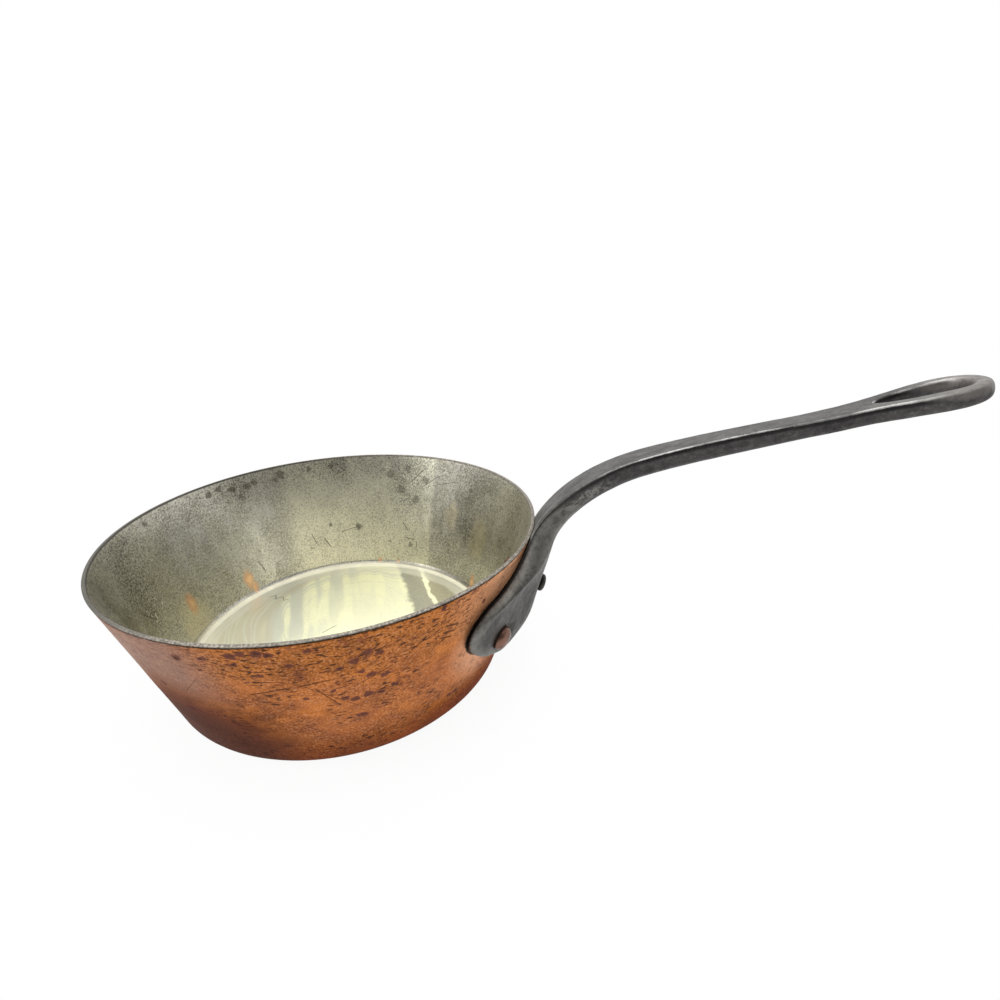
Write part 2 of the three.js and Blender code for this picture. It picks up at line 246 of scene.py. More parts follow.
def copper_body():
    top = -TIN_EDGE - COPPER_TUCK
    corners = [(0, 0), wall_foot(0), on_wall(top), on_wall(top, -COPPER), wall_foot(COPPER), (0, COPPER)]
    bm = spun(corners, {1: BASE_CORNER, 4: BASE_CORNER - COPPER})
    dent(bm)
    return finish_piece(bm, "copper_shell", "copper", "copper_body")


def tin_lining():
    back = COPPER + TIN_STANDOFF
    corners = [
        (0, back), wall_foot(back), on_wall(-TIN_EDGE, -back), on_wall(-TIN_EDGE),
        on_wall(0), on_wall(0, -WALL), wall_foot(WALL), (0, WALL),
    ]
    bm = spun(corners, {1: BASE_CORNER - back, 4: LIP_OUTER_ROUND, 5: LIP_INNER_ROUND, 6: INNER_CORNER})
    dent(bm)
    return finish_piece(bm, "tin_skin", "tin", "tin_lining")


copper_piece = copper_body()
tin_piece = tin_lining()

# %% [markdown]
# ## The handle's line
#
# The handle is one iron casting. It is easiest to model as a founder's pattern would be cut: flat and
# straight first, then bent. A point of the flat pattern has a distance along the handle, a distance across it
# and a depth below its top face. Seen from the side, the top face follows one line: up the wall, round the
# bend and along the grip. Distances along it are 0 at the rim.

# %% Handle line
HUG = 0.04  # how far the iron stands off the copper
FOOT_BOTTOM = -55
LEAVES_WALL = -1.9
BEND_REACH, BEND_RISE, BEND_SLOPE = 41.3, 33.5, math.radians(18.5)
GRIP_REACH, GRIP_RISE, LOOP_SLOPE = 105.9, 50.4, math.radians(16.6)
BEND_PULLS = (0.276, 0.6)
GRIP_PULLS = (0.41, 0.22)
LOOP_RUN = 45  # a straight run for the hanging loop
LINE_START = FOOT_BOTTOM - 2  # a little below the foot, so that the line has a slope at its bottom
LINE_STEPS, FOOT_STEPS, LOOP_STEPS = 160, 40, 20


def slope(angle):
    return Vector((math.cos(angle), math.sin(angle)))


def side_view_line():
    bend_start = on_wall(LEAVES_WALL, HUG)
    bend_end = RIM_EDGE + Vector((BEND_REACH, BEND_RISE))
    grip_end = RIM_EDGE + Vector((GRIP_REACH, GRIP_RISE))
    grip_span = GRIP_REACH - BEND_REACH
    bend = geometry.interpolate_bezier(
        bend_start, bend_start + UP_WALL * BEND_REACH * BEND_PULLS[0],
        bend_end - slope(BEND_SLOPE) * BEND_REACH * BEND_PULLS[1], bend_end, LINE_STEPS)
    grip = geometry.interpolate_bezier(
        bend_end, bend_end + slope(BEND_SLOPE) * grip_span * GRIP_PULLS[0],
        grip_end - slope(LOOP_SLOPE) * grip_span * GRIP_PULLS[1], grip_end, LINE_STEPS)
    foot = [on_wall(lerp(LINE_START, LEAVES_WALL, i / FOOT_STEPS), HUG) for i in range(FOOT_STEPS)]
    loop = [grip_end + slope(LOOP_SLOPE) * LOOP_RUN * i / LOOP_STEPS for i in range(1, LOOP_STEPS + 1)]
    return np.array([tuple(point.xy) for point in [*foot, *bend, *grip[1:], *loop]])


def lengths_along(points):
    return np.concatenate([[0], np.cumsum(np.hypot(*np.diff(points, axis=0).T))])


LINE = side_view_line()
LINE_AT = lengths_along(LINE) + LINE_START
LINE_WAY = np.gradient(LINE, LINE_AT, axis=0)
LINE_WAY /= np.hypot(*LINE_WAY.T)[:, None]
LOOP_START = LINE_AT[-1] - LOOP_RUN
FLATTENING = (0, 30)  # the back hugs the round wall up to the rim, and is flat after this
ALMOST_FLAT = 1e-3  # the least share of the wall's curvature, so that the radius has a value on the grip too


def bent(flat):
    """Where a point of the flat pattern (distance along, across, depth) lies on the pan."""
    along, across, depth = flat
    x, z = (float(np.interp(along, LINE_AT, LINE[:, k])) for k in (0, 1))
    way_x, way_z = (float(np.interp(along, LINE_AT, LINE_WAY[:, k])) for k in (0, 1))
    back_radius = x / max(1 - smoothstep(*FLATTENING, along), ALMOST_FLAT)
    turn = across / back_radius
    reach = back_radius + depth * way_z
    return Vector((x - back_radius + reach * math.cos(turn), reach * math.sin(turn), z - depth * way_x))


print("the handle's line is", round(LINE_AT[-1] - LOOP_RUN - FOOT_BOTTOM, 1), "mm long up to the loop")

# %% [markdown]
# ## The flat pattern
#
# The hanging loop is the only place with a hole, so the mesh starts there. A closed row of vertices round the
# loop is extruded inwards to the eye, down through it, back out underneath and up the outside. That leaves an
# opening as wide as the grip, and the grip is extruded out of it, ring by ring, down to the foot. The whole
# handle is then one mesh of four-sided faces, which a subdivision surface turns into a smooth casting with
# narrow, soft edges.

# %% Pattern sizes
ARRIS = 0.6  # the narrow edge between the top face and the sides
LOOP_ARRIS, EYE_ARRIS = 1.7, 1.0  # the loop's edges get rounder towards its end, most of all the outer one
LOOP_CENTRE, LOOP_RADIUS, LOOP_DEPTH = 28.4, 11.1, 6
EYE_TIP, EYE_CENTRE, EYE_RADIUS = 9, 29, 5.7
LOOP_PULLS = 0.45, 0.66  # how the side leaves the grip and meets the round end, as shares of its length
EYE_TIP_ROUND = 1, 0.56  # how far the eye's curve is pulled forwards and, as a share of its radius, sideways
EYE_END_PULL = 0.57  # where the curve meets the eye's round end, as a share of the eye's length
EYE_STEPS = 200
LOOP_WEAR = (12, 34)  # where the loop's edges get rounder, beyond its start
ACROSS = (-1, -0.95, -0.86, -0.72, -0.56, -0.4, -0.26, -0.13, 0, 0.13, 0.26, 0.4, 0.56, 0.72, 0.86, 0.95, 1)
TIP_SHARE = 0.22  # the share of the eye's side that faces the grip
SIDE_STEPS, END_STEPS = 12, 14

# From the neck to the loop: the fraction of the way, half the width, the depth and the underside's rounding.
BAR_SIZES = np.array([
    (0, 8.9, 9.8, 5.6),
    (0.1, 8.85, 9.2, 5.0),
    (0.2, 8.6, 8.6, 4.4),
    (0.35, 7.4, 8.0, 3.6),
    (0.58, 6.4, 7.5, 2.8),
    (0.77, 5.8, 6.9, 2.3),
    (0.89, 5.7, 6.2, 2.0),
    (1, 6.2, 6, 1.9),
])
START_HALF, START_ROUNDING = BAR_SIZES[-1][1], BAR_SIZES[-1][3]


def on_circle(centre, radius, angle):
    return Vector((centre + radius * math.cos(angle), radius * math.sin(angle)))


def loop_outline(inset):
    """The loop's outer outline as (along, across), from one corner of the grip to the other and round."""
    half, radius = START_HALF - inset, LOOP_RADIUS - inset
    start, end = Vector((0, half)), on_circle(LOOP_CENTRE, radius, math.pi / 2)
    pulls = [Vector((LOOP_CENTRE * pull, side)) for pull, side in zip(LOOP_PULLS, (half, radius))]
    side = [p.xy for p in geometry.interpolate_bezier(start, *pulls, end, SIDE_STEPS + 1)]
    return around(side, [Vector((0, half * share)) for share in ACROSS], LOOP_CENTRE, radius)


def eye_outline(outset):
    """The eye's outline, with as many points, each facing one of the outer outline's."""
    tip, radius = EYE_TIP - outset, EYE_RADIUS + outset
    length = EYE_CENTRE - tip
    start, end = Vector((tip, 0)), on_circle(EYE_CENTRE, radius, math.pi / 2)
    tip_pull = Vector((tip + EYE_TIP_ROUND[0], radius * EYE_TIP_ROUND[1]))
    end_pull = Vector((EYE_CENTRE - length * EYE_END_PULL, radius))
    curve = [p.xy for p in geometry.interpolate_bezier(start, tip_pull, end_pull, end, EYE_STEPS + 1)]
    tip_points = []
    for share in ACROSS:
        point = curve[round(EYE_STEPS * TIP_SHARE * abs(share))]
        tip_points.append(Vector((point.x, math.copysign(point.y, share))))
    side = [curve[round(EYE_STEPS * lerp(TIP_SHARE, 1, i / SIDE_STEPS))] for i in range(SIDE_STEPS + 1)]
    return around(side, tip_points, EYE_CENTRE, radius)


def around(side, start_points, centre, radius):
    """Closes an outline from its side facing the grip, one long side and its round end."""
    end = [on_circle(centre, radius, math.pi / 2 - math.pi * i / END_STEPS) for i in range(1, END_STEPS)]
    far_side = [Vector((point.x, -point.y)) for point in reversed(side[1:])]
    return [*start_points, *side[1:], *end, *far_side]


print("the loop's outline has", len(loop_outline(0)), "points")

# %% Rows and rings


def grow(bm, row, places, closed=True, flags=None):
    """Extrudes a row of vertices once, and moves the new row to its places. flags mark the front edge."""
    front = bm.verts.layers.float["front_edge"]
    following = row[1:] + row[:1] if closed else row[1:]
    edges = [bm.edges.get(pair) for pair in zip(row, following)]
    made = bmesh.ops.extrude_edge_only(bm, edges=edges)["geom"]
    new = {item for item in made if isinstance(item, bmesh.types.BMVert)}
    grown = []
    for vert, place, flag in zip(row, places, flags or [0] * len(row)):
        twin = next(edge.other_vert(vert) for edge in vert.link_edges if edge.other_vert(vert) in new)
        twin.co = place
        twin[front] = flag
        grown.append(twin)
    return grown


def worn(point):
    """How far the loop's edges have got rounder: 0 near the grip and 1 round the eye's wide end."""
    return smoothstep(*LOOP_WEAR, point.x)


def eased(outline, inset, worn_inset):
    """An outline whose inset grows from the grip towards the end of the loop."""
    return [a.lerp(b, worn(a)) for a, b in zip(outline(inset), outline(worn_inset))]


def at_depth(outline, depth, worn_depth=None):
    deeper = depth if worn_depth is None else worn_depth
    return [Vector((LOOP_START + point.x, point.y, lerp(depth, deeper, worn(point)))) for point in outline]


def between(outer, inner, share):
    return [a.lerp(b, share) for a, b in zip(outer, inner)]


BAND = (0.1, 0.3, 0.7, 0.9)  # rows between the outer outline and the eye
CORNER = 1 - math.sqrt(0.5)  # where a rounded corner's middle lies, as a share of its radius


def loop_mesh(bm):
    """Makes the loop and returns the ring of vertices round the opening towards the grip."""
    top_outer, top_eye = eased(loop_outline, ARRIS, LOOP_ARRIS), eased(eye_outline, ARRIS, EYE_ARRIS)
    low_outer, low_eye = loop_outline(START_ROUNDING), top_eye
    first = bmesh.ops.create_circle(bm, cap_ends=False, segments=len(top_outer), radius=1)["verts"]
    for vert, place in zip(first, at_depth(top_outer, 0)):
        vert.co = place
    row = first
    for share in BAND:
        row = grow(bm, row, at_depth(between(top_outer, top_eye, share), 0))
    row = grow(bm, row, at_depth(top_eye, 0))
    for depth, worn_depth in (
        (ARRIS, EYE_ARRIS), (LOOP_DEPTH / 2, LOOP_DEPTH / 2), (LOOP_DEPTH - ARRIS, LOOP_DEPTH - EYE_ARRIS),
    ):
        row = grow(bm, row, at_depth(eye_outline(0), depth, worn_depth))
    row = grow(bm, row, at_depth(low_eye, LOOP_DEPTH))
    for share in reversed(BAND):
        row = grow(bm, row, at_depth(between(low_outer, low_eye, share), LOOP_DEPTH))
    last = grow(bm, row, at_depth(low_outer, LOOP_DEPTH))

    outside = range(len(ACROSS) - 1, len(first) + 1)
    chain = [first[i % len(first)] for i in outside]
    last_chain = [last[i % len(last)] for i in outside]
    walls = []
    corner, worn_corner = START_ROUNDING * CORNER, LOOP_ARRIS * CORNER
    low = LOOP_DEPTH - START_ROUNDING
    for inset, worn_inset, depth, worn_depth in (
        (0, worn_corner, ARRIS, worn_corner), (0, 0, (ARRIS + low) / 2, LOOP_ARRIS),
        (0, 0, low, low), (corner, corner, LOOP_DEPTH - corner, LOOP_DEPTH - corner),
    ):
        outline = at_depth(eased(loop_outline, inset, worn_inset), depth, worn_depth)
        flags = [float(inset > 0)] * len(chain)
        chain = grow(bm, chain, [outline[i % len(outline)] for i in outside], closed=False, flags=flags)
        walls.append(chain)
    chain = grow(bm, chain, [vert.co.copy() for vert in last_chain], closed=False)
    bmesh.ops.weld_verts(bm, targetmap=dict(zip(chain, last_chain)))
    return [
        *first[:len(ACROSS)], *(wall[0] for wall in walls),
        *reversed(last[:len(ACROSS)]), *(wall[-1] for wall in reversed(walls)),
    ]


# %% [markdown]
# ## Foot, neck and grip
#
# The foot spreads into two wings that hug the wall, and a thick spine runs up its middle into the neck. Its
# outline gives the half width of each ring. Across a ring the depth falls from the spine to the thin wings.
# The lower neck is still shaped like that, a ridge with two sloping flanks, and only near the bend do the
# flanks stand up and become the grip's flat sides.

# %% Foot sizes and rings
WING_CENTRE, WING_RADIUS, WING_DEPTH = Vector((39, -27.4)), 11.5, 3.7
WING_ENDS = math.radians(-42), math.radians(75)
SPINE_DEPTH, SPINE_SPREAD = 10, 20
NECK_TOP, NECK_SWEEP = 8, 15
WING_ROUNDING = 1.8
FLANK = 0.85  # how far the spine reaches across the neck, as a share of half its width
FLANKS_STAND_UP = (-24, 4)  # places along the handle, as the next two are
NECK_GETS_ROUND = (-32, -6)
SPINE_GATHERS = WING_CENTRE.y + 8, NECK_TOP
BOTTOM_ROUND, BOTTOM_DEPTH = 3, 0.45  # where the foot gets thinner, and to what share at its very end
SPINE_THICKENS = (-9, 17)  # above the foot's bottom
LOW_PULL = 0.45  # how far the flat bottom reaches towards the wing
OUTLINE_STEPS = 60
FOOT_RINGS = 34
BAR_RINGS = 26
MOST_ROUNDING = 0.6, 0.65  # the limits of a ring's roundings, as shares of its edge and of half its width
MOST_ARRIS = 0.3
SIDE_COUNT = 4  # the vertices on each side of a ring


def foot_depth(across, edge, spine, spread=SPINE_SPREAD):
    return edge + (spine - edge) * math.exp(-(abs(across / spread) ** 3))


def foot_outline():
    """Half of the foot's outline as (across, along), from its bottom to the neck, at even steps."""
    low_turn, high_turn = WING_ENDS
    low = WING_CENTRE + slope(low_turn) * WING_RADIUS
    high = WING_CENTRE + slope(high_turn) * WING_RADIUS
    low_pull = low - slope(low_turn + math.pi / 2) * WING_RADIUS
    high_pull = high + slope(high_turn + math.pi / 2) * WING_RADIUS
    neck = Vector((BAR_SIZES[0][1], NECK_TOP))
    bottom, bottom_pull = Vector((0, FOOT_BOTTOM)), Vector((low.x * LOW_PULL, FOOT_BOTTOM))
    under = geometry.interpolate_bezier(bottom, bottom_pull, low_pull, low, OUTLINE_STEPS)
    turns = (lerp(low_turn, high_turn, i / OUTLINE_STEPS) for i in range(1, OUTLINE_STEPS))
    tip = [WING_CENTRE + slope(turn) * WING_RADIUS for turn in turns]
    over = geometry.interpolate_bezier(high, high_pull, neck - Vector((0, NECK_SWEEP)), neck, OUTLINE_STEPS)
    points = np.array([tuple(point.xy) for point in [*under, *tip, *over]])
    at = lengths_along(points)
    even = np.linspace(0, at[-1], FOOT_RINGS + 1)
    return [(np.interp(a, at, points[:, 0]), np.interp(a, at, points[:, 1])) for a in even]


def ring(along, half, spine, edge, rounding):
    """One closed ring of the flat pattern, with as many vertices as the loop's opening."""
    spread = min(SPINE_SPREAD, half * FLANK)
    rounding = min(rounding, edge * MOST_ROUNDING[0], half * MOST_ROUNDING[1])
    arris = min(ARRIS, edge * MOST_ARRIS, half * MOST_ARRIS)
    corner = rounding * CORNER
    top = [Vector((along, (half - arris) * share, 0)) for share in ACROSS]
    sides = []
    for side in (1, -1):
        sides.append([
            Vector((along, side * half, arris)),
            Vector((along, side * half, (arris + edge - rounding) / 2)),
            Vector((along, side * half, edge - rounding)),
            Vector((along, side * (half - corner), edge - corner)),
        ])
    low = [Vector((along, (half - rounding) * share, 0)) for share in ACROSS]
    for point in low:
        point.z = foot_depth(point.y, edge, spine, spread)
    return [*top, *sides[0], *reversed(low), *reversed(sides[1])]


# Of a ring's vertices, the last of each side lies on the edge between the side and the underside.
RING_FLAGS = [0] * len(ACROSS) + [0, 0, 0, 1] + [0] * len(ACROSS) + [1, 0, 0, 0]


def bar_rings():
    for i in range(1, BAR_RINGS + 1):
        share = 1 - i / BAR_RINGS
        half, depth, rounding = (float(np.interp(share, BAR_SIZES[:, 0], BAR_SIZES[:, k])) for k in (1, 2, 3))
        along = lerp(NECK_TOP, LOOP_START, share)
        edge = lerp(WING_DEPTH, depth, smoothstep(*FLANKS_STAND_UP, along))
        yield ring(along, half, depth, edge, rounding)


def foot_rings():
    neck_depth, neck_rounding = BAR_SIZES[0][2:]
    for half, along in reversed(foot_outline()[1:-1]):
        up = along - FOOT_BOTTOM
        rounded = lerp(BOTTOM_DEPTH, 1, math.sqrt(1 - max(1 - up / BOTTOM_ROUND, 0) ** 2))
        thickening = smoothstep(*SPINE_THICKENS, up)
        gathering = smoothstep(*SPINE_GATHERS, along)
        spine = lerp(WING_DEPTH, lerp(SPINE_DEPTH, neck_depth, gathering), thickening)
        edge = lerp(WING_DEPTH, spine, smoothstep(*FLANKS_STAND_UP, along))
        rounding = lerp(WING_ROUNDING, neck_rounding, smoothstep(*NECK_GETS_ROUND, along))
        yield ring(along, half, spine * rounded, edge * rounded, rounding)


# %% [markdown]
# The rings are joined to the loop, subdivided while the pattern is still flat, and bent last. Bending last
# keeps the back of the foot exactly on the wall. Two numbers are stored at each vertex on the way: how far it
# is from the top edge and from the underside's edge. The iron's finish needs them, because it paints shade
# right below an edge, and wear and polish, with a painted highlight, on the edges themselves.

# %% Handle piece
SIDE_RIVET_ACROSS, SIDE_RIVET_ALONG = 28.5, -38.5
MIDDLE_RIVET_ALONG = -26
SIDE_HEAD = (5.3, 3.9)
MIDDLE_HEAD = (3.9, 2.5)
SEAT_EDGE = (0.2, 2.5)  # where the filed seat ends, beyond the rivet's head
CASTING_WAVES = ((9.0, 0.07), (3.2, 0.035))
SMOOTH_BACK = 0.3  # the foot has no waves down to this depth, because its back lies on the wall
ON_ARRIS = (0.1, 0.9)  # the shares of the arris's depth between which a vertex counts as on it
ON_FRONT_EDGE = 0.6  # the least share of the front edge's flag that still counts after subdivision

RIVETS = {
    "rivet_middle": (0, MIDDLE_RIVET_ALONG, *MIDDLE_HEAD),
    "rivet_left": (SIDE_RIVET_ACROSS, SIDE_RIVET_ALONG, *SIDE_HEAD),
    "rivet_right": (-SIDE_RIVET_ACROSS, SIDE_RIVET_ALONG, *SIDE_HEAD),
}


def seat_depth(across, radius):
    return foot_depth(abs(across) + radius, WING_DEPTH, SPINE_DEPTH)


def flat_pattern():
    bm = bmesh.new()
    bm.verts.layers.float.new("front_edge")
    row = loop_mesh(bm)
    for places in [*bar_rings(), *foot_rings()]:
        row = grow(bm, row, places, flags=RING_FLAGS)
    top, low = row[:len(ACROSS)], row[len(ACROSS) + SIDE_COUNT:-SIDE_COUNT]
    ends = [bm.edges.get(pair) for chain in (top, low) for pair in zip(chain, chain[1:])]
    bmesh.ops.bridge_loops(bm, edges=ends)
    bmesh.ops.holes_fill(bm, edges=[edge for edge in bm.edges if edge.is_boundary], sides=3 * SIDE_COUNT)
    bmesh.ops.recalc_face_normals(bm, faces=bm.faces)
    return bm


def subdivided(bm, name, levels):
    """The bmesh after a subdivision surface."""
    mesh = bpy.data.meshes.new(name)
    bm.to_mesh(mesh)
    bm.free()
    holder = add_object(name, mesh)
    modifier = holder.modifiers.new("smooth", "SUBSURF")
    modifier.levels = modifier.render_levels = levels
    evaluated = holder.evaluated_get(bpy.context.evaluated_depsgraph_get())
    smooth = bmesh.new()
    smooth.from_mesh(evaluated.to_mesh())
    evaluated.to_mesh_clear()
    bpy.data.objects.remove(holder)
    return smooth


def store_flat_places(bm):
    """Stores each vertex's place on the flat pattern, and its distance from the two edges."""
    flat = bm.verts.layers.float_vector.new("flat_place")
    edges = bm.verts.layers.float_vector.new("from_edges")
    front = bm.verts.layers.float["front_edge"]
    trees = []
    for chosen in (
        [vert.co for vert in bm.verts if ON_ARRIS[0] < vert.co.z / ARRIS < ON_ARRIS[1]],
        [vert.co for vert in bm.verts if vert[front] > ON_FRONT_EDGE],
    ):
        tree = kdtree.KDTree(len(chosen))
        for number, place in enumerate(chosen):
            tree.insert(place, number)
        tree.balance()
        trees.append(tree)
    for vert in bm.verts:
        vert[flat] = vert.co
        vert[edges] = (trees[0].find(vert.co)[2], trees[1].find(vert.co)[2], 0)


def sculpt(bm):
    """Flattens the seats of the rivets' heads and gives the casting its slight waviness, while it is flat."""
    for vert in bm.verts:
        along, across, depth = vert.co
        for place_across, place_along, radius, _ in RIVETS.values():
            away = math.hypot(across - place_across, along - place_along)
            seat = seat_depth(place_across, radius)
            if depth > seat:
                depth = lerp(seat, depth, smoothstep(*SEAT_EDGE, away - radius))
        vert.co.z = depth
    bm.normal_update()
    moves = []
    for vert in bm.verts:
        wave = sum(height * noise.noise(vert.co / size) for size, height in CASTING_WAVES)
        moves.append(vert.normal * wave if vert.co.z > SMOOTH_BACK or vert.co.x > 0 else Vector())
    for vert, move in zip(bm.verts, moves):
        vert.co += move


def iron_handle():
    smooth = subdivided(flat_pattern(), "pattern", 2)
    store_flat_places(smooth)
    sculpt(smooth)
    for vert in smooth.verts:
        vert.co = bent(vert.co)
    return finish_piece(smooth, "handle_casting", "iron", "iron_handle")


handle_piece = iron_handle()

# %% [markdown]
# ## The rivets
#
# Three copper rivets hold the handle. Each head was struck into a dome with a hollow set, and the tail inside
# the pan was hammered low and tinned over. A rivet is a spun profile, with its head on the flat that was
# filed for it, its shank through iron, copper and tin, and its tail against the lining.

# %% Rivets
SHANK_RADIUS = 2.9
TAIL_RADIUS, TAIL_HEIGHT = 5.3, 1.6
HEAD_EDGE = 0.9  # the upright edge under each dome
DOME_STEPS = 10
RIVET_TURNS = 64
RIVET_MERGE = 1e-4
HAMMER_MARKS, MARK_SIZE = 0.07, 2.1
UNMARKED = 0.3  # how high above its seat a head starts to show hammer marks


def rivet(name, across, along, head_radius, head_height):
    wall = on_wall(along)
    azimuth = across / wall.x
    seat = seat_depth(across, head_radius) + HUG
    tail_top = -(WALL + TAIL_RADIUS ** 2 / (2 * (wall.x - WALL)))
    quarter = [math.pi / 2 * i / DOME_STEPS for i in range(DOME_STEPS + 1)]
    edge, rise = seat + HEAD_EDGE, head_height - HEAD_EDGE
    outline = [
        *((TAIL_RADIUS * math.sin(a), tail_top - TAIL_HEIGHT * math.cos(a)) for a in quarter),
        (SHANK_RADIUS, tail_top), (SHANK_RADIUS, seat), (head_radius, seat),
        *((head_radius * math.cos(a), edge + rise * math.sin(a)) for a in quarter),
    ]
    bm, _ = profile(outline, closed=False)
    spin(bm, RIVET_TURNS, RIVET_MERGE)
    shift = Vector((across, along, 0))
    for vert in bm.verts:
        if not tail_top - UNMARKED <= vert.co.z <= seat + UNMARKED:
            vert.co.z += HAMMER_MARKS * noise.noise(vert.co / MARK_SIZE + shift)
    out = Vector((OUT_OF_WALL.x, 0, OUT_OF_WALL.y))
    turn = Matrix.Rotation(azimuth, 4, "Z")
    lean = Vector((0, 0, 1)).rotation_difference(out).to_matrix().to_4x4()
    place = Matrix.Translation((wall.x, 0, wall.y))
    bmesh.ops.transform(bm, matrix=turn @ place @ lean, verts=bm.verts)
    return finish_piece(bm, name + "_domed", "rivet_copper", name)


rivet_pieces = [rivet(name, *sizes) for name, sizes in RIVETS.items()]

# %% [markdown]
# ## Finishes
#
# Every finish is built from patterns that are measured in millimetres on the pan, so that a stain stays where
# it is and keeps its size. A pattern is the number that a shader node puts out, and arithmetic on patterns
# adds further nodes, so a finish reads like a sum: share times window, or the larger of two stains.

# %% Patterns


class Pattern:
    """What a node puts out. Arithmetic adds further nodes, and a | b is the larger of the two."""

    def __init__(self, nodes, socket):
        self.nodes, self.socket = nodes, socket

    def __add__(self, other):
        return self.nodes.math("ADD", self, other)

    def __sub__(self, other):
        return self.nodes.math("SUBTRACT", self, other)

    def __rsub__(self, other):
        return self.nodes.math("SUBTRACT", other, self)

    def __mul__(self, other):
        return self.nodes.math("MULTIPLY", self, other)

    def __or__(self, other):
        return self.nodes.math("MAXIMUM", self, other)

    def __abs__(self):
        return self.nodes.math("ABSOLUTE", self)

    def plus(self, other, factor):
        """This pattern plus factor times another one."""
        return self.nodes.math("MULTIPLY_ADD", other, factor, self)

    def window(self, low, high, start=0.0, end=1.0, **settings):
        """start below low, end above high and a smooth step between them. low may be the larger one."""
        ends = [("From Min", low), ("From Max", high), ("To Min", start), ("To Max", end)]
        settings = settings or {"interpolation_type": "SMOOTHSTEP"}
        return self.nodes.add("MapRange", [("Value", self), *ends], **settings)


def largest(patterns):
    return functools.reduce(operator.or_, patterns)


class Nodes:
    """The node tree of a material or of the world, emptied and built anew."""

    def __init__(self, owner):
        owner.use_nodes = True
        self.tree = owner.node_tree
        self.tree.nodes.clear()

    def node(self, kind, inputs=(), **settings):
        """Adds a shader node. inputs are pairs of a socket and its value, which may be a pattern."""
        node = self.tree.nodes.new("ShaderNode" + kind)
        for name, value in settings.items():
            setattr(node, name, value)
        for socket, value in inputs:
            if isinstance(value, Pattern):
                self.tree.links.new(value.socket, node.inputs[socket])
            else:
                node.inputs[socket].default_value = value
        return node

    def add(self, kind, inputs=(), output=0, **settings):
        return Pattern(self, self.node(kind, inputs, **settings).outputs[output])

    def math(self, operation, *values):
        return self.add("Math", enumerate(values), operation=operation)

    def vector(self, operation, *values, output=0):
        return self.add("VectorMath", enumerate(values), output, operation=operation)

    def ray(self, *kinds):
        """1 where the light comes along a ray of one of these kinds."""
        return largest(self.add("LightPath", output=f"Is {kind} Ray") for kind in kinds)


# %% [markdown]
# One object holds a material while it is put together. Its patterns are noises, spots at named places, and
# scratches between two points. Its colour starts plain and is painted over layer by layer, as tarnish and
# dirt lie on the real metal.

# %% Finish helper
ANY_WAY = Vector((1, 1, 1))
WAVER_SIZE = 6  # how far apart the bends of a wavering scratch are
SCRATCH_SKIN = (6, 5)  # how far off its surface a scratch still marks a piece


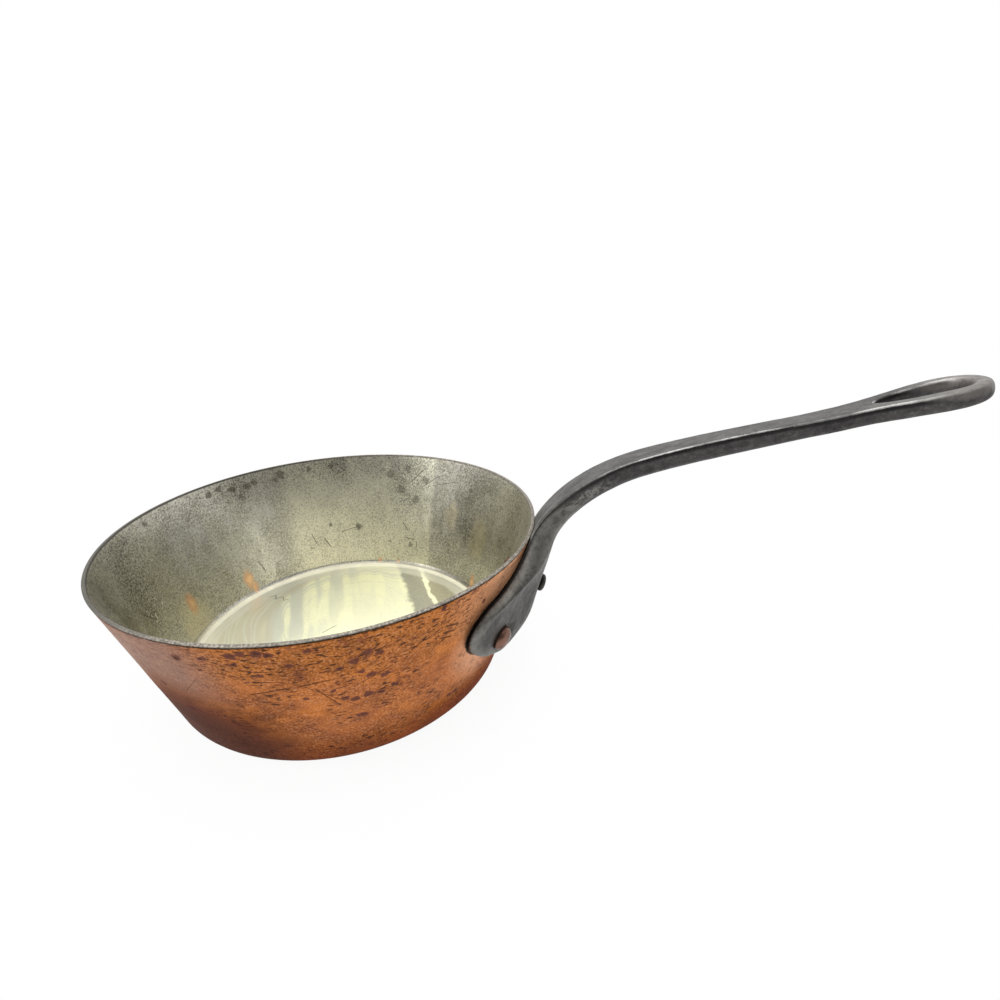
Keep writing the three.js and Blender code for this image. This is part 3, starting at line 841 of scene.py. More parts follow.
class Finish(Nodes):
    """A material in the making, with the place on the piece in millimetres."""

    def __init__(self, name, color, place_attribute=None):
        self.material = bpy.data.materials.new(name)
        super().__init__(self.material)
        self.color = color
        self.bumped = []
        if place_attribute:
            self.place = self.attribute(place_attribute, "Vector")
        else:
            metres = self.add("TexCoord", output="Object")
            self.place = self.add("VectorMath", [(0, metres), ("Scale", 1 / MM)], operation="SCALE")

    def attribute(self, name, output="Fac"):
        return self.add("Attribute", output=output, attribute_name=name)

    def axis(self, letter, place=None):
        return self.add("SeparateXYZ", [(0, place or self.place)], letter)

    def flat(self, x, y):
        return self.add("CombineXYZ", [("X", x), ("Y", y)])

    def noise(self, size, detail=2.0, stretch=ANY_WAY, turn=(0, 0, 0), shift=0.0, place=None, output=0):
        """Noise with lumps of about size millimetres, which stretch makes longer."""
        mapped = self.add("Mapping", [
            ("Vector", place or self.place), ("Location", (shift,) * 3), ("Rotation", turn),
            ("Scale", [size * factor for factor in stretch]),
        ], vector_type="TEXTURE")
        return self.add("TexNoise", [("Vector", mapped), ("Scale", 1.0), ("Detail", detail)], output)

    def spots(self, marks, place=None, depth=0.0, scale=ANY_WAY, growth=1.0):
        """The nearness to (azimuth, height, reach) marks on the wall: 1 in the middle, 0 beyond the reach."""
        nearness = []
        for azimuth, height, reach in marks:
            centre = wall_point(azimuth, height, depth) * scale
            away = self.vector("DISTANCE", place or self.place, centre, output="Value")
            nearness.append(away.window(0, reach * growth, 1, 0, interpolation_type="LINEAR"))
        return largest(nearness)

    def astray(self, size, reach, scale=ANY_WAY):
        """The place, pushed up to half of reach millimetres astray so that spots get ragged, and scaled."""
        push = self.vector("SUBTRACT", self.noise(size, output="Color"), (0.5, 0.5, 0.5))
        pushed = self.vector("MULTIPLY_ADD", push, (reach,) * 3, self.place)
        return self.vector("MULTIPLY", pushed, scale)

    def scratch(self, start, end, outward, width):
        """A wavering line on the surface from start to end."""
        along = (end - start).normalized()
        up = outward.cross(along).normalized()
        turn = Matrix((along, up, along.cross(up))).transposed().to_euler()
        local = self.add("Mapping", [
            ("Vector", self.place), ("Location", start), ("Rotation", turn),
        ], vector_type="TEXTURE")
        run, side, off = (self.axis(letter, local) for letter in "XYZ")
        length = (end - start).length
        line = abs(side.plus(self.noise(WAVER_SIZE, 1), width)).window(width, width * 0.4)
        ends = run.window(-0.2, 0.6) * run.window(length, length * 0.7)
        return line * ends * abs(off).window(*SCRATCH_SKIN)

    def wall_scratches(self, scratches, depth=0.0):
        cuts = []
        for start, end, width in scratches:
            ends = wall_point(*start, depth), wall_point(*end, depth)
            cuts.append(self.scratch(*ends, (ends[0] + ends[1]).normalized(), width))
        return largest(cuts)

    def layered(self, color, *layers):
        """A colour with (share, colour) layers over it."""
        for share, layer in layers:
            color = self.add("Mix", [(0, share), (6, color), (7, layer)], 2, data_type="RGBA")
        return color

    def paint(self, share, color):
        self.color = self.layered(self.color, (share, color))

    def bump(self, height, depth):
        """Raises the surface by depth millimetres where height is 1."""
        inputs = [("Height", height), ("Distance", depth * MM), ("Strength", 1.0), *self.bumped]
        self.bumped = [("Normal", self.add("Bump", inputs))]

    def done(self, piece, metallic, roughness, *more):
        """Connects the patterns to one Principled shader, and gives the material to the piece."""
        inputs = [("Base Color", self.color), ("Metallic", metallic), ("Roughness", roughness)]
        shader = self.add("BsdfPrincipled", [*inputs, *more, *self.bumped])
        self.node("OutputMaterial", [("Surface", shader)])
        piece.data.materials.append(self.material)
        print(self.material.name, "has", len(self.tree.nodes), "nodes")


def wall_point(azimuth, height, depth=0.0):
    """A point of the wall from its direction seen from above in degrees and its height in millimetres."""
    radius = RIM_RADIUS - (BODY_HEIGHT - height) * math.tan(WALL_FLARE) - depth / math.cos(WALL_FLARE)
    turn = math.radians(azimuth)
    return Vector((radius * math.cos(turn), radius * math.sin(turn), height))


# %% [markdown]
# ## Copper
#
# Copper tarnishes in layers: a warm orange where cloths rub it, brown and purplish films where they do not,
# and purple-brown blots with charred middles where drops of fat burned on. The photograph shows the blots in
# a loose row under the rim and in a cluster right of the middle, so these have named places on the wall.
# Their ragged shapes come from noise. Short dashes run round the wall where it was rubbed against others,
# and scratches cut through the film. The rubbed copper beside the handle is painted paler still, as a sheen.
# Painted shade darkens the wall towards the bottom and low on its dim side, and dulls its glancing reflection
# there, and a dark line of painted shade lies under the tin's lip and in the crease round the iron's foot.

# %% Distance from the foot, for the painted shade round it


def foot_gap(places):
    """The distance of each place on the wall from the foot's outline, negative under the foot."""
    half = np.array(foot_outline())
    outline = np.vstack([half, half[::-1] * (-1, 1)])
    azimuth = np.arctan2(places[:, 1], places[:, 0])
    along = (places[:, 2] - BODY_HEIGHT) / math.cos(WALL_FLARE)
    points = np.column_stack([azimuth * np.hypot(places[:, 0], places[:, 1]), along])
    gap = np.full(len(points), 1e3)
    inside = np.zeros(len(points), bool)
    for start, end in zip(outline, np.roll(outline, -1, axis=0)):
        side = end - start
        share = np.clip((points - start) @ side / max(side @ side, 1e-9), 0, 1)
        gap = np.minimum(gap, np.hypot(*(points - start - share[:, None] * side).T))
        crosses = (start[1] > points[:, 1]) != (end[1] > points[:, 1])
        if abs(side[1]) > 1e-9:
            inside ^= crosses & (points[:, 0] < start[0] + side[0] * (points[:, 1] - start[1]) / side[1])
    return np.where(inside, -gap, gap)


def store_foot_gap(piece):
    places = np.empty(3 * len(piece.data.vertices))
    piece.data.vertices.foreach_get("co", places)
    gaps = foot_gap(places.reshape(-1, 3) / MM)
    piece.data.attributes.new("foot_gap", "FLOAT", "POINT").data.foreach_set("value", gaps)
    print(int((gaps < 0).sum()), "vertices of the copper lie under the foot")


store_foot_gap(copper_piece)

# %% Copper finish
COPPER_WARM = (0.58, 0.194, 0.047, 1)
COPPER_GOLD = (0.44, 0.155, 0.033, 1)
COPPER_BROWN = (0.235, 0.073, 0.024, 1)
COPPER_ROSE = (0.41, 0.138, 0.054, 1)
COPPER_PALE = (1.0, 0.60, 0.38, 1)
COPPER_MAUVE = (0.27, 0.18, 0.16, 1)
# the colour of the painted shade low on the wall, also used for the hairline scratches
COPPER_SHADE_AND_HAIRS = (0.085, 0.029, 0.016, 1)
BURNT = (0.05, 0.017, 0.009, 1)
COPPER_EDGE = (0.90, 0.72, 0.62, 1)  # how copper with a film reflects at a glancing angle
# the glancing reflection where the shade is painted
COPPER_SHADED_EDGE = (0.20, 0.06, 0.03, 1)
COPPER_BLOT = (0.17, 0.052, 0.036, 1)
# painted shade for the crease round the iron's foot and under the tin's lip
COPPER_CREASE_SHADE = (0.02, 0.014, 0.011, 1)

# Azimuth in degrees, height and reach in millimetres, the last ones on the sides that the photograph hides
BURNT_MARKS = (
    (279, 68, 3.0), (281, 69, 2.2), (284, 69, 2.8), (286, 68, 2.0), (273, 66, 2.4), (267, 65, 2.6),
    (279, 64, 1.8), (271, 60, 1.6), (283, 58, 1.6), (289, 62, 1.7), (298, 57, 1.8), (293, 68, 1.8),
    (290, 44, 1.6), (304, 62, 2.8), (306, 60, 2.2), (301, 59, 2.4), (304, 50, 2.6), (307, 48, 2.8),
    (302, 53, 1.8), (300, 39, 2.4), (303, 40, 2.8), (306, 39, 2.0), (309, 41, 1.7), (298, 41, 1.8),
    (301, 29, 2.6), (296, 46, 1.5), (320, 70, 2.0), (326, 17, 1.9), (328, 17, 2.0), (332, 62, 1.8),
    (336, 57, 1.8), (259, 32, 3.4), (262, 25, 2.8), (255, 44, 2.0), (62, 50, 3.6), (66, 48, 2.4),
    (75, 66, 2.8), (118, 40, 3.0), (141, 62, 2.6), (144, 60, 2.0), (170, 30, 3.0), (205, 55, 2.8),
    (222, 64, 2.0),
)
BURNT_GROWTH = 1.1  # how many times their reach the marks are drawn
# Start and end as azimuth and height, and half the width
COPPER_SCRATCHES = (
    ((292.5, 49), (297.5, 36), 0.3), ((279, 48), (290, 51.5), 0.26), ((289, 51), (297, 52.6), 0.3),
    ((289, 53), (304, 30), 0.14), ((300, 46), (309, 52), 0.2), ((321, 60.6), (325, 58.6), 0.5),
    ((320.5, 57.8), (324.5, 56), 0.5), ((320, 55.6), (323.5, 53.6), 0.45), ((262, 44), (270, 57), 0.12),
    ((338, 40), (332, 28), 0.14), ((84, 20), (96, 48), 0.14), ((180, 58), (196, 50), 0.14),
)


def copper_finish(piece):
    f = Finish("old_copper", COPPER_WARM)
    height = f.axis("Z")
    broad = f.noise(34, 3)
    mottled = f.noise(5, 6, stretch=(1.7, 1.7, 1), shift=21)
    film = f.noise(13, 5, stretch=(1.6, 1.6, 1)).plus(height, -0.006).window(0.1, 0.38)
    tone = broad.plus(mottled, 1.1)
    f.paint(tone.window(0.88, 1.34), COPPER_BROWN)
    f.paint(film * 0.5, COPPER_ROSE)
    # rubbed copper beside the handle, painted paler still as a sheen
    rubbed_and_sheen = f.spots([(341, 68, 36), (339, 40, 26)])
    f.paint(rubbed_and_sheen * 0.95, COPPER_PALE)
    purple = f.spots([(248, 60, 52), (228, 40, 60)]).window(0.0, 0.5)
    uneven = height.plus(mottled, 14)
    # painted shade: the wall darker towards the bottom and low on its dim side
    low_shade = uneven.window(34, 10)
    shaded_side = f.spots([(257, 4, 60), (225, 4, 60), (70, 10, 46)])
    painted_shade = low_shade * 0.5 | shaded_side.window(0, 0.65) * 0.92
    f.paint(painted_shade, COPPER_SHADE_AND_HAIRS)

    busy = f.noise(20, 3, shift=31).window(0.4, 0.6)
    high_band = uneven.window(50, 68)
    f.paint(high_band * 0.5, COPPER_GOLD)
    f.paint(purple * shaded_side.window(0.5, 0.1, 0.1, 0.88), COPPER_MAUVE)
    crowded = busy | high_band | 0.2
    fine = f.noise(0.8, 2)
    specks = fine.window(0.52, 0.66) * crowded
    flecks = fine.window(0.48, 0.36, 0, 0.17) * painted_shade.window(0.1, 0.6, 1, 0.2)
    f.paint(flecks, COPPER_PALE)
    stroke = f.noise(0.8, 4, stretch=(3.6, 3.6, 1), turn=(0.25, 0.15, 0), shift=7)
    where = f.noise(12, 3, shift=19).plus(high_band, 0.12)
    dashes = stroke.window(0.565, 0.625) * where.window(0.465, 0.56)
    blots = f.noise(2.2, 5, stretch=(1.5, 1.5, 1), shift=41).window(0.55, 0.66)
    f.paint(blots * where.window(0.44, 0.6) * 0.6, COPPER_BLOT)
    dirt = (specks * 0.5 | dashes * 0.9) * (rubbed_and_sheen | purple).window(0.1, 0.8, 1, 0.3)
    f.paint(dirt, BURNT)

    ragged = f.noise(2.0, 2, shift=13)
    low_and_wide = Vector((1, 1, 1.4))
    strayed = f.astray(2.4, 2.6, low_and_wide)
    charred = f.spots(BURNT_MARKS, strayed, scale=low_and_wide, growth=BURNT_GROWTH).plus(ragged, 0.7)
    burnt = charred.window(0.55, 0.8)
    f.paint(burnt * 0.9, COPPER_BLOT)
    charred = charred.window(0.8, 1.2) * f.noise(4, 2, shift=23).window(0.4, 0.6, 0.1, 0.9)
    f.paint(charred, BURNT)

    cuts = f.wall_scratches(COPPER_SCRATCHES)
    f.paint(cuts * 0.8, BURNT)
    long_noise = f.noise(1.1, 1, stretch=(26, 26, 1), turn=(0.10, -0.06, 0), shift=3)
    hairs = abs(long_noise - 0.5).window(0.016, 0.006) * f.noise(9, 2, shift=5).window(0.48, 0.6)
    f.paint(hairs * 0.5, COPPER_SHADE_AND_HAIRS)

    # painted shade: a dark line just under the tin's lip, and along the crease where the iron's foot meets
    # the copper, where the copper also mirrors the dark iron
    under_lip = (height + f.noise(2.2, 2)).window(BODY_HEIGHT - 0.6, BODY_HEIGHT)
    by_foot = f.attribute("foot_gap").plus(f.noise(2.0, 3), -1.4).window(0.3, -0.25)
    crease_shade = under_lip | by_foot
    f.paint(crease_shade, COPPER_CREASE_SHADE)

    dull = burnt | crease_shade | (dirt | painted_shade)
    roughness = broad.window(0.3, 0.7, 0.3, 0.4).plus(dull, 0.25)
    metallic = f.math("MULTIPLY_ADD", dull | rubbed_and_sheen, -0.35, 0.97)
    f.bump(fine, 0.018)
    f.bump(mottled, 0.05)
    f.bump(cuts | hairs | dashes, -0.05)
    f.bump(burnt, 0.02)
    # the glancing reflection is painted darker where the shade is painted
    tint = f.layered(COPPER_EDGE, (painted_shade | low_shade, COPPER_SHADED_EDGE))
    f.done(piece, metallic, roughness, ("Specular Tint", tint))


copper_finish(copper_piece)

# %% [markdown]
# ## Tin
#
# A wiped tin lining is never even. The cloth drags it upwards while it sets, so the wall has upright streaks,
# and use leaves grey spots and a speckled band where sauces boil up. A paler stroke on the far wall is a
# painted reflection. The floor is scoured most, so it is the palest and smoothest part. It keeps the arcs
# that the cloth left, a dull slanted band on the far right, olive patches by the corner, a small scribble of
# scratches and faint rings from the spoon. Its upright stripes are painted reflections, a pale ring near its
# edge is a painted highlight, and the corner round it and a line just above are painted darker as shade. A
# few orange spots low on the wall are painted reflections. All this reads places on the tin, so it stays when
# the pan is turned.

# %% Tin finish
TIN_GREY = (0.40, 0.38, 0.305, 1)
TIN_PALE = (0.72, 0.70, 0.605, 1)
TIN_BLUE = (0.60, 0.615, 0.595, 1)
TIN_OLIVE = (0.80, 0.725, 0.53, 1)
TIN_LIT = (1.0, 0.975, 0.78, 1)
TIN_CREAM = (1.0, 0.995, 0.68, 1)
TIN_COOL = (0.73, 0.74, 0.60, 1)
TIN_DULL = (0.65, 0.615, 0.46, 1)
TIN_BAND = (0.35, 0.345, 0.27, 1)
TIN_OUTER = (0.39, 0.365, 0.25, 1)
TIN_EDGE_HIGHLIGHT = (0.76, 0.76, 0.655, 1)
TIN_RIM = (0.21, 0.19, 0.162, 1)
TIN_RIM_DARK = (0.12, 0.115, 0.10, 1)
TIN_WORN = (0.39, 0.355, 0.305, 1)
TIN_SPOT = (0.10, 0.09, 0.07, 1)
# the orange of the painted reflections on the tin, and of their bright middles
TIN_COPPER_REFLECTION = (0.86, 0.50, 0.27, 1)
TIN_COPPER_GLINT = (1.0, 0.70, 0.42, 1)

# The tin's marks and scratches are written as the copper's are
TIN_SPOTS = (
    (157, 68, 3.4), (161, 67, 3.4), (152, 66, 3.6), (147, 65, 4.2), (144, 66, 3.4), (134, 67, 4.4),
    (136, 65, 3.6), (123, 67, 3.6), (115, 67, 3.0), (187, 68, 2.8), (198, 66, 2.8), (91, 60, 5.5),
    (87, 51, 5.0), (80, 45, 4.6), (76, 58, 4.4), (84, 64, 4.0), (54, 58, 3.0), (51, 37, 4.4),
    (106, 27, 4.0), (82, 16, 3.0), (118, 30, 2.2), (228, 58, 4.0), (262, 64, 3.6), (281, 50, 4.4),
    (310, 61, 3.6), (340, 66, 3.0),
)
# A broad stroke of painted sheen on the far wall, standing in for a reflection, with a soft left end and a
# sharp right one, in radians
PAINTED_SHEEN_STROKE = (math.radians(71), math.radians(73.5)), (math.radians(141), math.radians(129))
# Orange spots low on the wall, painted reflections
ORANGE_REFLECTIONS = (
    (186.5, 20, 5.4), (158.5, 12, 5.2), (157, 6, 3.4), (44, 7, 3.8), (97, 4, 1.8), (88, 4, 1.4),
    (300, 12, 6.0),
)
DARK_PATCHES = (
    (84, 56, 17), (150, 66, 9), (112, 67, 9), (205, 50, 20), (52, 34, 9), (250, 40, 16), (330, 30, 14),
)
OLIVE_PATCHES = ((189, 7, 15), (46, 33, 11), (62, 40, 7), (240, 20, 12), (10, 30, 12))
TIN_SCRATCHES = (
    ((127, 26), (125, 17), 0.35), ((127, 17), (129, 18), 0.3), ((122, 22), (119, 14), 0.4),
    ((85, 20), (79, 19), 0.35), ((79, 19), (79, 13), 0.35), ((93, 17), (91, 16.6), 0.4),
    ((86, 30), (83, 24), 0.35), ((114, 24), (106, 27), 0.25), ((76, 66), (84, 54), 0.35),
    ((70, 62), (80, 50), 0.25), ((62, 60), (78, 52), 0.2), ((152, 20), (150, 11), 0.35),
    ((140, 42), (150, 30), 0.16), ((212, 40), (205, 28), 0.2), ((30, 50), (24, 62), 0.2),
)
SWIRL_CENTRE = (-5, 24, 0)  # the place on the floor that the wiping cloth circled
BAND_WAY = (0.874, 0.486, 0)  # the way across the dull band on the far right of the floor
# Start and end on the floor, as x and y, and half the width of them all
FLOOR_SCRATCHES = (
    ((-64, 29), (-60, 31.5)), ((-61, 32), (-57.5, 26.5)), ((-60, 27.5), (-55, 31)),
    ((-55.5, 31), (-52.5, 27)), ((-53, 26.5), (-50.5, 30)), ((-14, 1), (-8.5, 10)), ((20, -20), (34, -26)),
    ((-30, -34), (-22, -40)),
)
FLOOR_SCRATCH = 0.35


def tin_finish(piece):
    f = Finish("wiped_tin", TIN_PALE)
    aside, away, height = (f.axis(letter) for letter in "XYZ")
    across = f.vector("MULTIPLY", f.place, (1, 1, 0))
    radius = f.vector("LENGTH", across, output="Value")
    azimuth = f.math("ARCTAN2", away, aside)
    streaks = f.noise(5.5, 3, stretch=(1, 1, 5))
    cloudy = f.noise(15, 5, shift=3)
    grain = f.noise(0.8, 4)
    brushed = f.noise(0.9, 3, stretch=(5, 5, 1), shift=8)
    tone = (cloudy * 0.5).plus(grain, 1.3).plus(streaks, 0.25).plus(brushed, 0.4)
    f.paint(tone.window(1.1, 1.42), TIN_GREY)
    bluish = f.spots([(147, 30, 44), (176, 40, 30)], depth=WALL).window(0, 0.7)
    f.paint(bluish * tone.window(1.35, 1.0, 0.2, 0.8), TIN_BLUE)
    # painted reflection: a paler stroke on the far wall
    sheen_stroke = azimuth.window(*PAINTED_SHEEN_STROKE[0]) * azimuth.window(*PAINTED_SHEEN_STROKE[1])
    f.paint(sheen_stroke * tone.window(1.0, 1.45, 0.95, 0.5), TIN_LIT)
    tall = Vector((1, 1, 0.6))
    strayed = f.astray(6, 9, tall)
    f.paint(f.spots(OLIVE_PATCHES, strayed, WALL, tall).window(0, 0.6, 0, 0.8), TIN_OLIVE)

    uneven = height.plus(cloudy, 18)
    high_band = uneven.window(52, 78)
    low_specks = f.noise(16, 2, shift=17).window(0.45, 0.65, 0.12, 0.4)
    patches = f.spots(DARK_PATCHES, strayed, WALL, tall).window(0, 0.7) * tone.window(1.0, 1.35, 0.35, 1)
    crowd = high_band | low_specks | patches
    specks = f.noise(1.2, 4, shift=5).window(0.56, 0.64) * crowd * aside.window(-85, -30, 0.55, 1)
    worms = abs(f.noise(2.4, 3, shift=14) - 0.5).window(0.034, 0.012)
    worms = worms * (crowd | aside.window(-60, 10, 0, 0.6)) * grain.window(0.42, 0.55)
    f.paint((specks | worms) * 0.7, TIN_SPOT)
    f.paint(high_band * 0.12, TIN_SPOT)
    f.paint(patches * grain.window(0.4, 0.6, 0.12, 0.55), TIN_SPOT)
    gritty = f.noise(0.9, 2, shift=37)
    f.paint(gritty.window(0.54, 0.66, 0, 0.34), TIN_SPOT)
    f.paint(gritty.window(0.46, 0.34, 0, 0.3), TIN_LIT)
    flecks = f.spots([(204, 31, 14), (60, 24, 9)], depth=WALL).window(0, 0.5)
    f.paint(f.noise(1.6, 2, shift=25).window(0.6, 0.66) * flecks, TIN_LIT)

    on_floor = height.window(WALL + 1.4, WALL + 0.6)
    smeared = f.noise(14, 1, stretch=(0.5, 4, 1), turn=(0, 0, 0.45), shift=11)
    # painted reflections: soft upright stripes on the floor
    reflected_stripes = smeared.window(0.42, 0.6) * aside.window(-8, -34, 0.3, 1)
    from_swirl = f.vector("DISTANCE", across, SWIRL_CENTRE, output="Value").plus(smeared, 8)
    left_out = from_swirl.window(48, 56, 0, 0.9) * aside.window(-20, -46)
    arcs = f.noise(2.6, 2, place=f.flat(from_swirl, smeared)).window(0.5, 0.6)
    arcs = arcs * from_swirl.window(30, 40, 0.1, 0.7)
    slanted = f.vector("DOT_PRODUCT", across, BAND_WAY, output="Value").plus(f.noise(9, 2, shift=33), 9)
    far_half = away.window(-12, 14)
    floor_color = f.layered(
        TIN_CREAM, (reflected_stripes, TIN_COOL), (left_out, TIN_DULL), (arcs, TIN_COOL),
        (slanted.window(43, 47) * slanted.window(56.8, 55.6) * far_half, TIN_BAND),
        (slanted.window(58.3, 60) * far_half, TIN_OUTER),
        # painted highlight: a pale ring near the floor's edge
        (radius.plus(cloudy, 3).window(70, 73) * 0.6, TIN_EDGE_HIGHLIGHT),
        (f.noise(0.7, 3, shift=27).window(0.5, 0.66, 0, 0.3), TIN_DULL),
    )
    f.paint(on_floor, floor_color)

    # painted shade: the corner between floor and wall is duller, with a dark line just above it
    shaded_corner = height.window(WALL + 0.1, WALL + 0.4) * height.window(3.4, 2.8)
    f.paint(shaded_corner * 0.8, TIN_DULL)
    shade_above_corner = height.window(2.4, 2.9) * height.window(4.7, 4.0)
    f.paint(shade_above_corner * aside.window(-30, 20, 0.2, 0.7), TIN_SPOT)
    rings = f.noise(1.6, 2, stretch=(1, 0.2, 1), place=f.flat(radius, cloudy))
    ring_lines = rings.window(0.58, 0.66) * radius.window(45, 70)
    f.paint(ring_lines * on_floor * 0.12, TIN_GREY)

    ragged = f.noise(1.5, 4, shift=9)
    stains = f.spots(TIN_SPOTS, f.astray(2.4, 3.2), WALL).plus(ragged, 0.9).window(0.77, 1.02)
    f.paint(stains * 0.62, TIN_SPOT)
    # painted reflections: orange spots with bright middles low on the wall, held in worn
    tall = Vector((1, 1, 0.5))
    worn = f.spots(ORANGE_REFLECTIONS, f.astray(2.5, 2.5, tall), WALL, tall)
    worn = worn.plus(f.noise(1.3, 3, stretch=(1, 1, 3)), 0.7)
    f.paint(worn.window(0.48, 1.1, 0, 0.85), TIN_COPPER_REFLECTION)
    f.paint(worn.window(0.95, 1.25, 0, 0.85), TIN_COPPER_GLINT)

    cuts = f.wall_scratches(TIN_SCRATCHES, WALL)
    for ends in FLOOR_SCRATCHES:
        start, end = (Vector((*place, WALL)) for place in ends)
        cuts = cuts | f.scratch(start, end, Vector((0, 0, 1)), FLOOR_SCRATCH)
    f.paint(cuts * 0.8, TIN_SPOT)

    on_rim = height.window(BODY_HEIGHT - 0.9, BODY_HEIGHT - 0.5)
    nicks = f.noise(0.7, 3, shift=4).window(0.48, 0.62) * on_rim
    rim_worn = f.noise(0.9, 3, shift=6).window(0.42, 0.6)
    far_rim = azimuth.window(-1.45, -2.1) | azimuth.window(1.9, 2.6)
    f.paint(on_rim, f.layered(TIN_RIM, (rim_worn, TIN_WORN), (far_rim * 0.9, TIN_RIM_DARK)))
    f.paint(nicks * 0.4, TIN_SPOT)

    dull = stains | specks | on_rim
    roughness = streaks.window(0.3, 0.7, 0.3, 0.4).plus(on_floor, 0.06).plus(dull, 0.2)
    metallic = f.math("MULTIPLY_ADD", on_floor, -0.35, 1.0)
    f.bump(streaks, 0.02)
    f.bump(f.noise(9, 2, shift=2), 0.02)
    f.bump(rings * on_floor, 0.008)
    f.bump(grain * (1.0 - on_floor), 0.018)
    f.bump(cuts | nicks, -0.03)
    f.done(piece, metallic, roughness)


tin_finish(tin_piece)

# %% [markdown]
# ## Iron
#
# The handle came out of its mould with a fine sandy skin. Hands have polished the top face and most of all
# its edges, and the edges are painted brighter still as a highlight. A dark line of painted shade lies right
# below them, the wings' thin edges are painted black as shade, the neck's sides are painted lighter and the
# foot darker as light and shade that even out the crease between them, and the loop's round end is painted
# lighter as if lit from above. The finish reads the place on the flat pattern, so its grain follows the
# handle round the bend, and the stored distances from the edges.

# %% Iron finish
BEND_WORN = (28, 16)  # the middle and half the length of the patch rubbed bare on the side of the bend
IRON_TOP = (0.115, 0.109, 0.106, 1)
IRON_LIT_END = (0.27, 0.25, 0.235, 1)
IRON_SIDE = (0.072, 0.066, 0.067, 1)
IRON_NECK_LIT = (0.18, 0.175, 0.158, 1)
IRON_FOOT_SHADED = (0.068, 0.0655, 0.059, 1)
IRON_POLISH_HIGHLIGHT = (0.62, 0.61, 0.59, 1)
IRON_BLACK = (0.012, 0.011, 0.011, 1)
IRON_WORN = (0.28, 0.27, 0.25, 1)


def iron_finish(piece):
    f = Finish("handled_iron", IRON_TOP, "flat_place")
    along, across, depth = (f.axis(letter) for letter in "XYZ")
    edges = f.attribute("from_edges", "Vector")
    to_arris, to_front = f.axis("X", edges), f.axis("Y", edges)
    sandy = f.noise(0.8, 3)
    cloudy = f.noise(7, 4, stretch=(2.5, 1, 1))
    pitted = f.noise(1.7, 4, stretch=(1.5, 1, 1), shift=6)

    on_loop_at = along - LOOP_START
    round_end = on_loop_at.window(14, 32)
    on_side = depth.window(0.35, f.math("MULTIPLY_ADD", round_end, 4.2, 0.7))
    on_loop = on_loop_at.window(0, 12)
    beyond_foot = along.window(6, 40)
    on_foot = to_arris.window(3.0, 6.0) * along.window(-4, -18)
    # the sides: painted lighter on the neck, and the foot's own dark grey painted darker still, as painted
    # light and shade that even out the crease between them
    f.paint(on_side, f.layered(IRON_NECK_LIT, (on_foot, IRON_FOOT_SHADED), (beyond_foot, IRON_SIDE)))
    # painted light: the loop's round end lighter, as if lit from above
    f.paint(round_end * on_side.window(1, 0, 0.1, 0.9), IRON_LIT_END)
    mottle = pitted.plus(sandy, 0.6)
    f.paint(mottle.window(0.78, 1.05, 0, 0.35), IRON_BLACK)
    f.paint(mottle.window(0.8, 0.55, 0, 0.18), IRON_WORN)
    f.paint(cloudy.window(0.5, 0.7, 0, 0.25), IRON_BLACK)
    far_arm = on_loop * across.window(0.5, 3)
    near_arm = on_loop * across.window(-0.5, -3)
    in_shade = far_arm * round_end.window(0.7, 0)
    f.paint(in_shade * 0.3, IRON_BLACK)
    near_top = near_arm * on_side.window(0.6, 0)
    f.paint(near_top * 0.35, IRON_WORN)
    worn_bend = abs(along - BEND_WORN[0]).window(BEND_WORN[1], 2)
    worn_bend = worn_bend * depth.window(2.2, 3.6) * depth.window(8.0, 5.0)
    f.paint(worn_bend * mottle.window(0.95, 0.65, 0, 0.8), IRON_WORN)

    # painted shade: a dark line right under the top edge
    shade_under_arris = to_arris.window(0.1, 0.4) * to_arris.window(2.0, 0.9) * round_end.window(0.8, 0)
    f.paint(shade_under_arris * on_side * cloudy.window(0.8, 0.35, 0.5, 1) * 0.88, IRON_BLACK)
    # painted shade: the wings' thin edge painted black
    shaded_wing_side = depth.window(1.6, 0.8) * along.window(-2, -14)
    f.paint(shaded_wing_side * 0.85, IRON_BLACK)
    # polished edges, painted brighter still as a highlight, also on the far arm's inner edge
    polish_and_highlight = to_arris.plus(mottle, 0.45).window(0.62, 0.34)
    kept = along.window(32, 50) * on_loop_at.window(26, 16)
    inner_edge = on_loop_at.window(14, 20) * on_loop_at.window(36, 30) * across.window(7.6, 6.8)
    polish_and_highlight = polish_and_highlight * (kept + (inner_edge - kept) * far_arm)
    f.paint(polish_and_highlight * cloudy.window(0.62, 0.4, 0.25, 0.9), IRON_POLISH_HIGHLIGHT)
    shoulder = to_arris.window(0.6, 1.3) * to_arris.plus(mottle, 2.4).window(6.4, 4.0)
    shoulder = shoulder * along.window(18, 4) * along.window(-44, -30)
    f.paint(shoulder * sandy.window(0.4, 0.56, 0.12, 0.65), IRON_WORN)
    f.paint(to_front.window(1.6, 0.5) * along.window(-30, -44) * 0.25, IRON_WORN)

    roughness = cloudy.window(0.3, 0.7, 0.28, 0.42).plus(mottle, 0.2)
    f.bump(sandy, 0.03)
    f.bump(pitted, 0.04)
    f.bump(f.noise(4.5, 3, shift=5), 0.06)
    f.done(piece, 0.8, roughness)


iron_finish(handle_piece)

# %% [markdown]
# ## Rivets
#
# The rivets are copper too, but nobody polishes them. They have gone brown, darker where the set's edge bit
# in, and the middle one, high in the fold of the handle, is painted nearly black as the shade of that fold.

# %% Rivet finish
RIVET_BROWN = (0.165, 0.085, 0.06, 1)
RIVET_ROSE = (0.235, 0.125, 0.09, 1)
RIVET_SOOT_AND_SHADE = (0.05, 0.05, 0.042, 1)


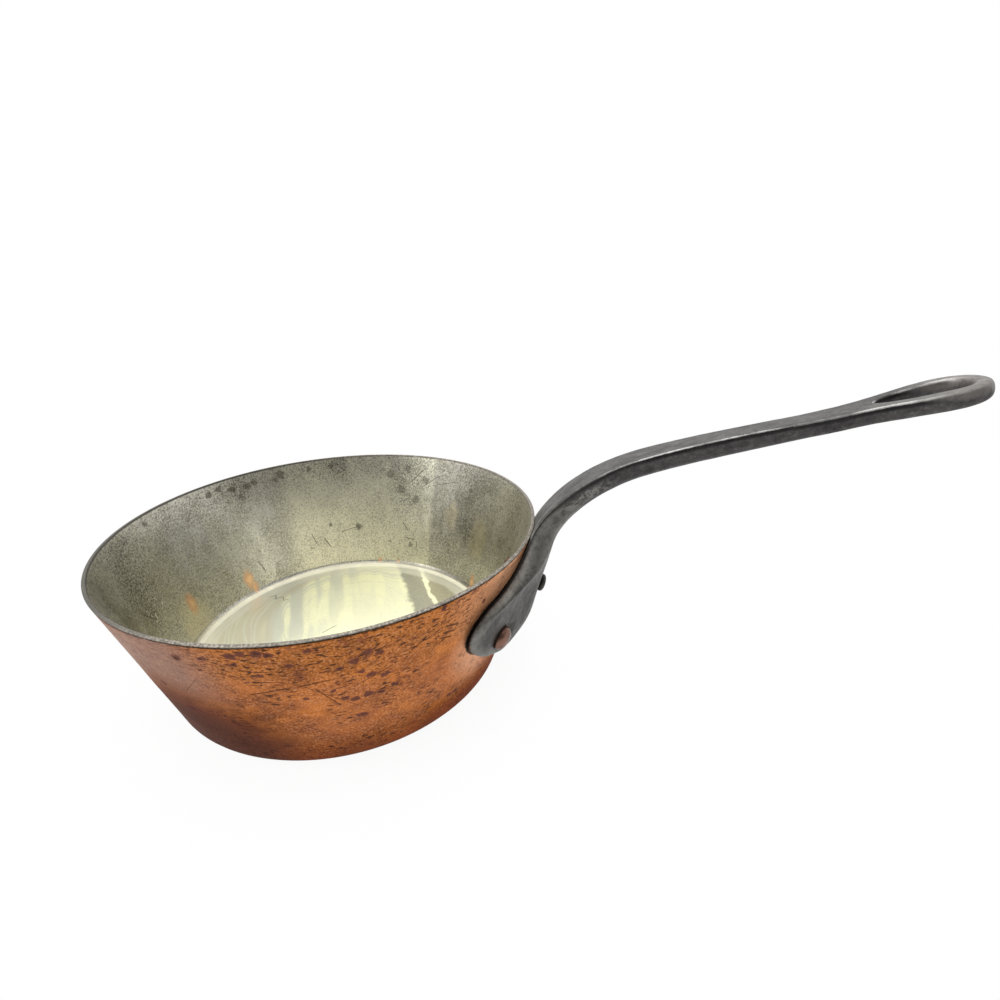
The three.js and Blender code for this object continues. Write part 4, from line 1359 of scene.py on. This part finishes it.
def rivet_finish(piece, soot_and_shade):
    f = Finish(piece.name + "_finish", RIVET_ROSE)
    cloudy = f.noise(3.2, 4)
    f.paint(cloudy.window(0.35, 0.65), RIVET_BROWN)
    # dark spots of dirt, and on the middle rivet nearly all of it, as painted shade
    dirt_and_shade = cloudy.plus(f.noise(0.9, 3), 0.5).window(0.74, 0.96, soot_and_shade, min(soot_and_shade + 0.15, 1))
    f.paint(dirt_and_shade, RIVET_SOOT_AND_SHADE)
    roughness = f.math("MULTIPLY_ADD", dirt_and_shade, 0.2, 0.36)
    f.bump(f.noise(0.7, 3), 0.015)
    f.bump(f.noise(2.4, 2, shift=8), 0.03)
    f.done(piece, 0.85, roughness)


for piece in rivet_pieces:
    # the middle rivet is painted nearly black as the shade of the handle's fold
    rivet_finish(piece, 0.95 if "middle" in piece.name else 0.0)

# %% [markdown]
# ## Floor, lights and background
#
# The pan stands on a pale floor in a white room, as in a catalogue. Metal shows what surrounds it, so the
# room matters as much as the finish. A wide soft lamp hangs overhead and a smaller one stands to the side. To
# the camera and in the metal the floor and the room are white, except that the room is dim on the
# photographer's side, which gives the copper its dark parts. For all other light both are a plain pale grey.

# %% Floor
FLOOR_SIZE = 3.0
SHADOW_FADE = (0.06, 0.13)  # the distances from the middle between which the pan's shadow fades out
WHITE_UNDER_PAN = 0.92
PAPER = (0.86, 0.86, 0.85, 1)
WHITE = (1, 1, 1, 1)


def floor_finish():
    """White to the camera and in the metal, apart from the pan's shadow, and pale grey to all other light."""
    material = bpy.data.materials.new("floor_paper")
    nodes = Nodes(material)
    away = nodes.vector("LENGTH", nodes.add("TexCoord", output="Object"), output="Value")
    share = nodes.ray("Camera", "Glossy", "Transmission") * away.window(*SHADOW_FADE, WHITE_UNDER_PAN, 1)
    paper = nodes.add("BsdfDiffuse", [("Color", PAPER)])
    white = nodes.add("Emission", [("Color", WHITE), ("Strength", 1.0)])
    mixed = nodes.add("MixShader", [(0, share), (1, paper), (2, white)])
    nodes.node("OutputMaterial", [("Surface", mixed)])
    return material


def make_floor():
    bm = bmesh.new()
    bmesh.ops.create_grid(bm, x_segments=1, y_segments=1, size=FLOOR_SIZE)
    mesh = bpy.data.meshes.new("floor")
    bm.to_mesh(mesh)
    bm.free()
    mesh.materials.append(floor_finish())
    floor = add_object("floor", mesh)


make_floor()

# %% Lights and world
LAMPS = {
    "overhead": {"place": (-0.25, 0.25, 1.3), "size": 2.4, "power": 14.5},
    "side": {"place": (-1.1, -0.7, 0.8), "size": 0.8, "power": 6},
}
DIM_SIDE = (0.35, -0.85, 0.15)
DIM_EDGES = (-0.1, 0.8)
DIM_STRENGTH = 0.22
PLAIN_STRENGTH = 0.7


def make_lamps():
    for name, lamp in LAMPS.items():
        light = bpy.data.lights.new(name, "AREA")
        light.shape = "DISK"
        light.size = lamp["size"]
        light.energy = lamp["power"]
        holder = add_object(name, light)
        holder.location = lamp["place"]
        holder.rotation_euler = Vector(lamp["place"]).to_track_quat("Z", "Y").to_euler()


def make_world():
    """White behind the pan and above it, for the camera and for the metal, and dim on the camera's side."""
    world = bpy.data.worlds.new("room")
    nodes = Nodes(world)
    way = nodes.add("TexCoord", output="Generated")
    dimmed = nodes.vector("DOT_PRODUCT", way, DIM_SIDE, output="Value").window(*DIM_EDGES, 1, DIM_STRENGTH)
    in_metal = nodes.ray("Glossy", "Transmission")
    seen = nodes.add("Mix", [(0, in_metal), (2, PLAIN_STRENGTH), (3, dimmed)])
    strength = nodes.add("Mix", [(0, nodes.ray("Camera")), (2, seen), (3, 1.0)])
    light = nodes.add("Background", [("Color", WHITE), ("Strength", strength)])
    nodes.node("OutputWorld", [("Surface", light)])
    bpy.context.scene.world = world
    bpy.context.scene.view_settings.view_transform = "Standard"


make_lamps()
make_world()
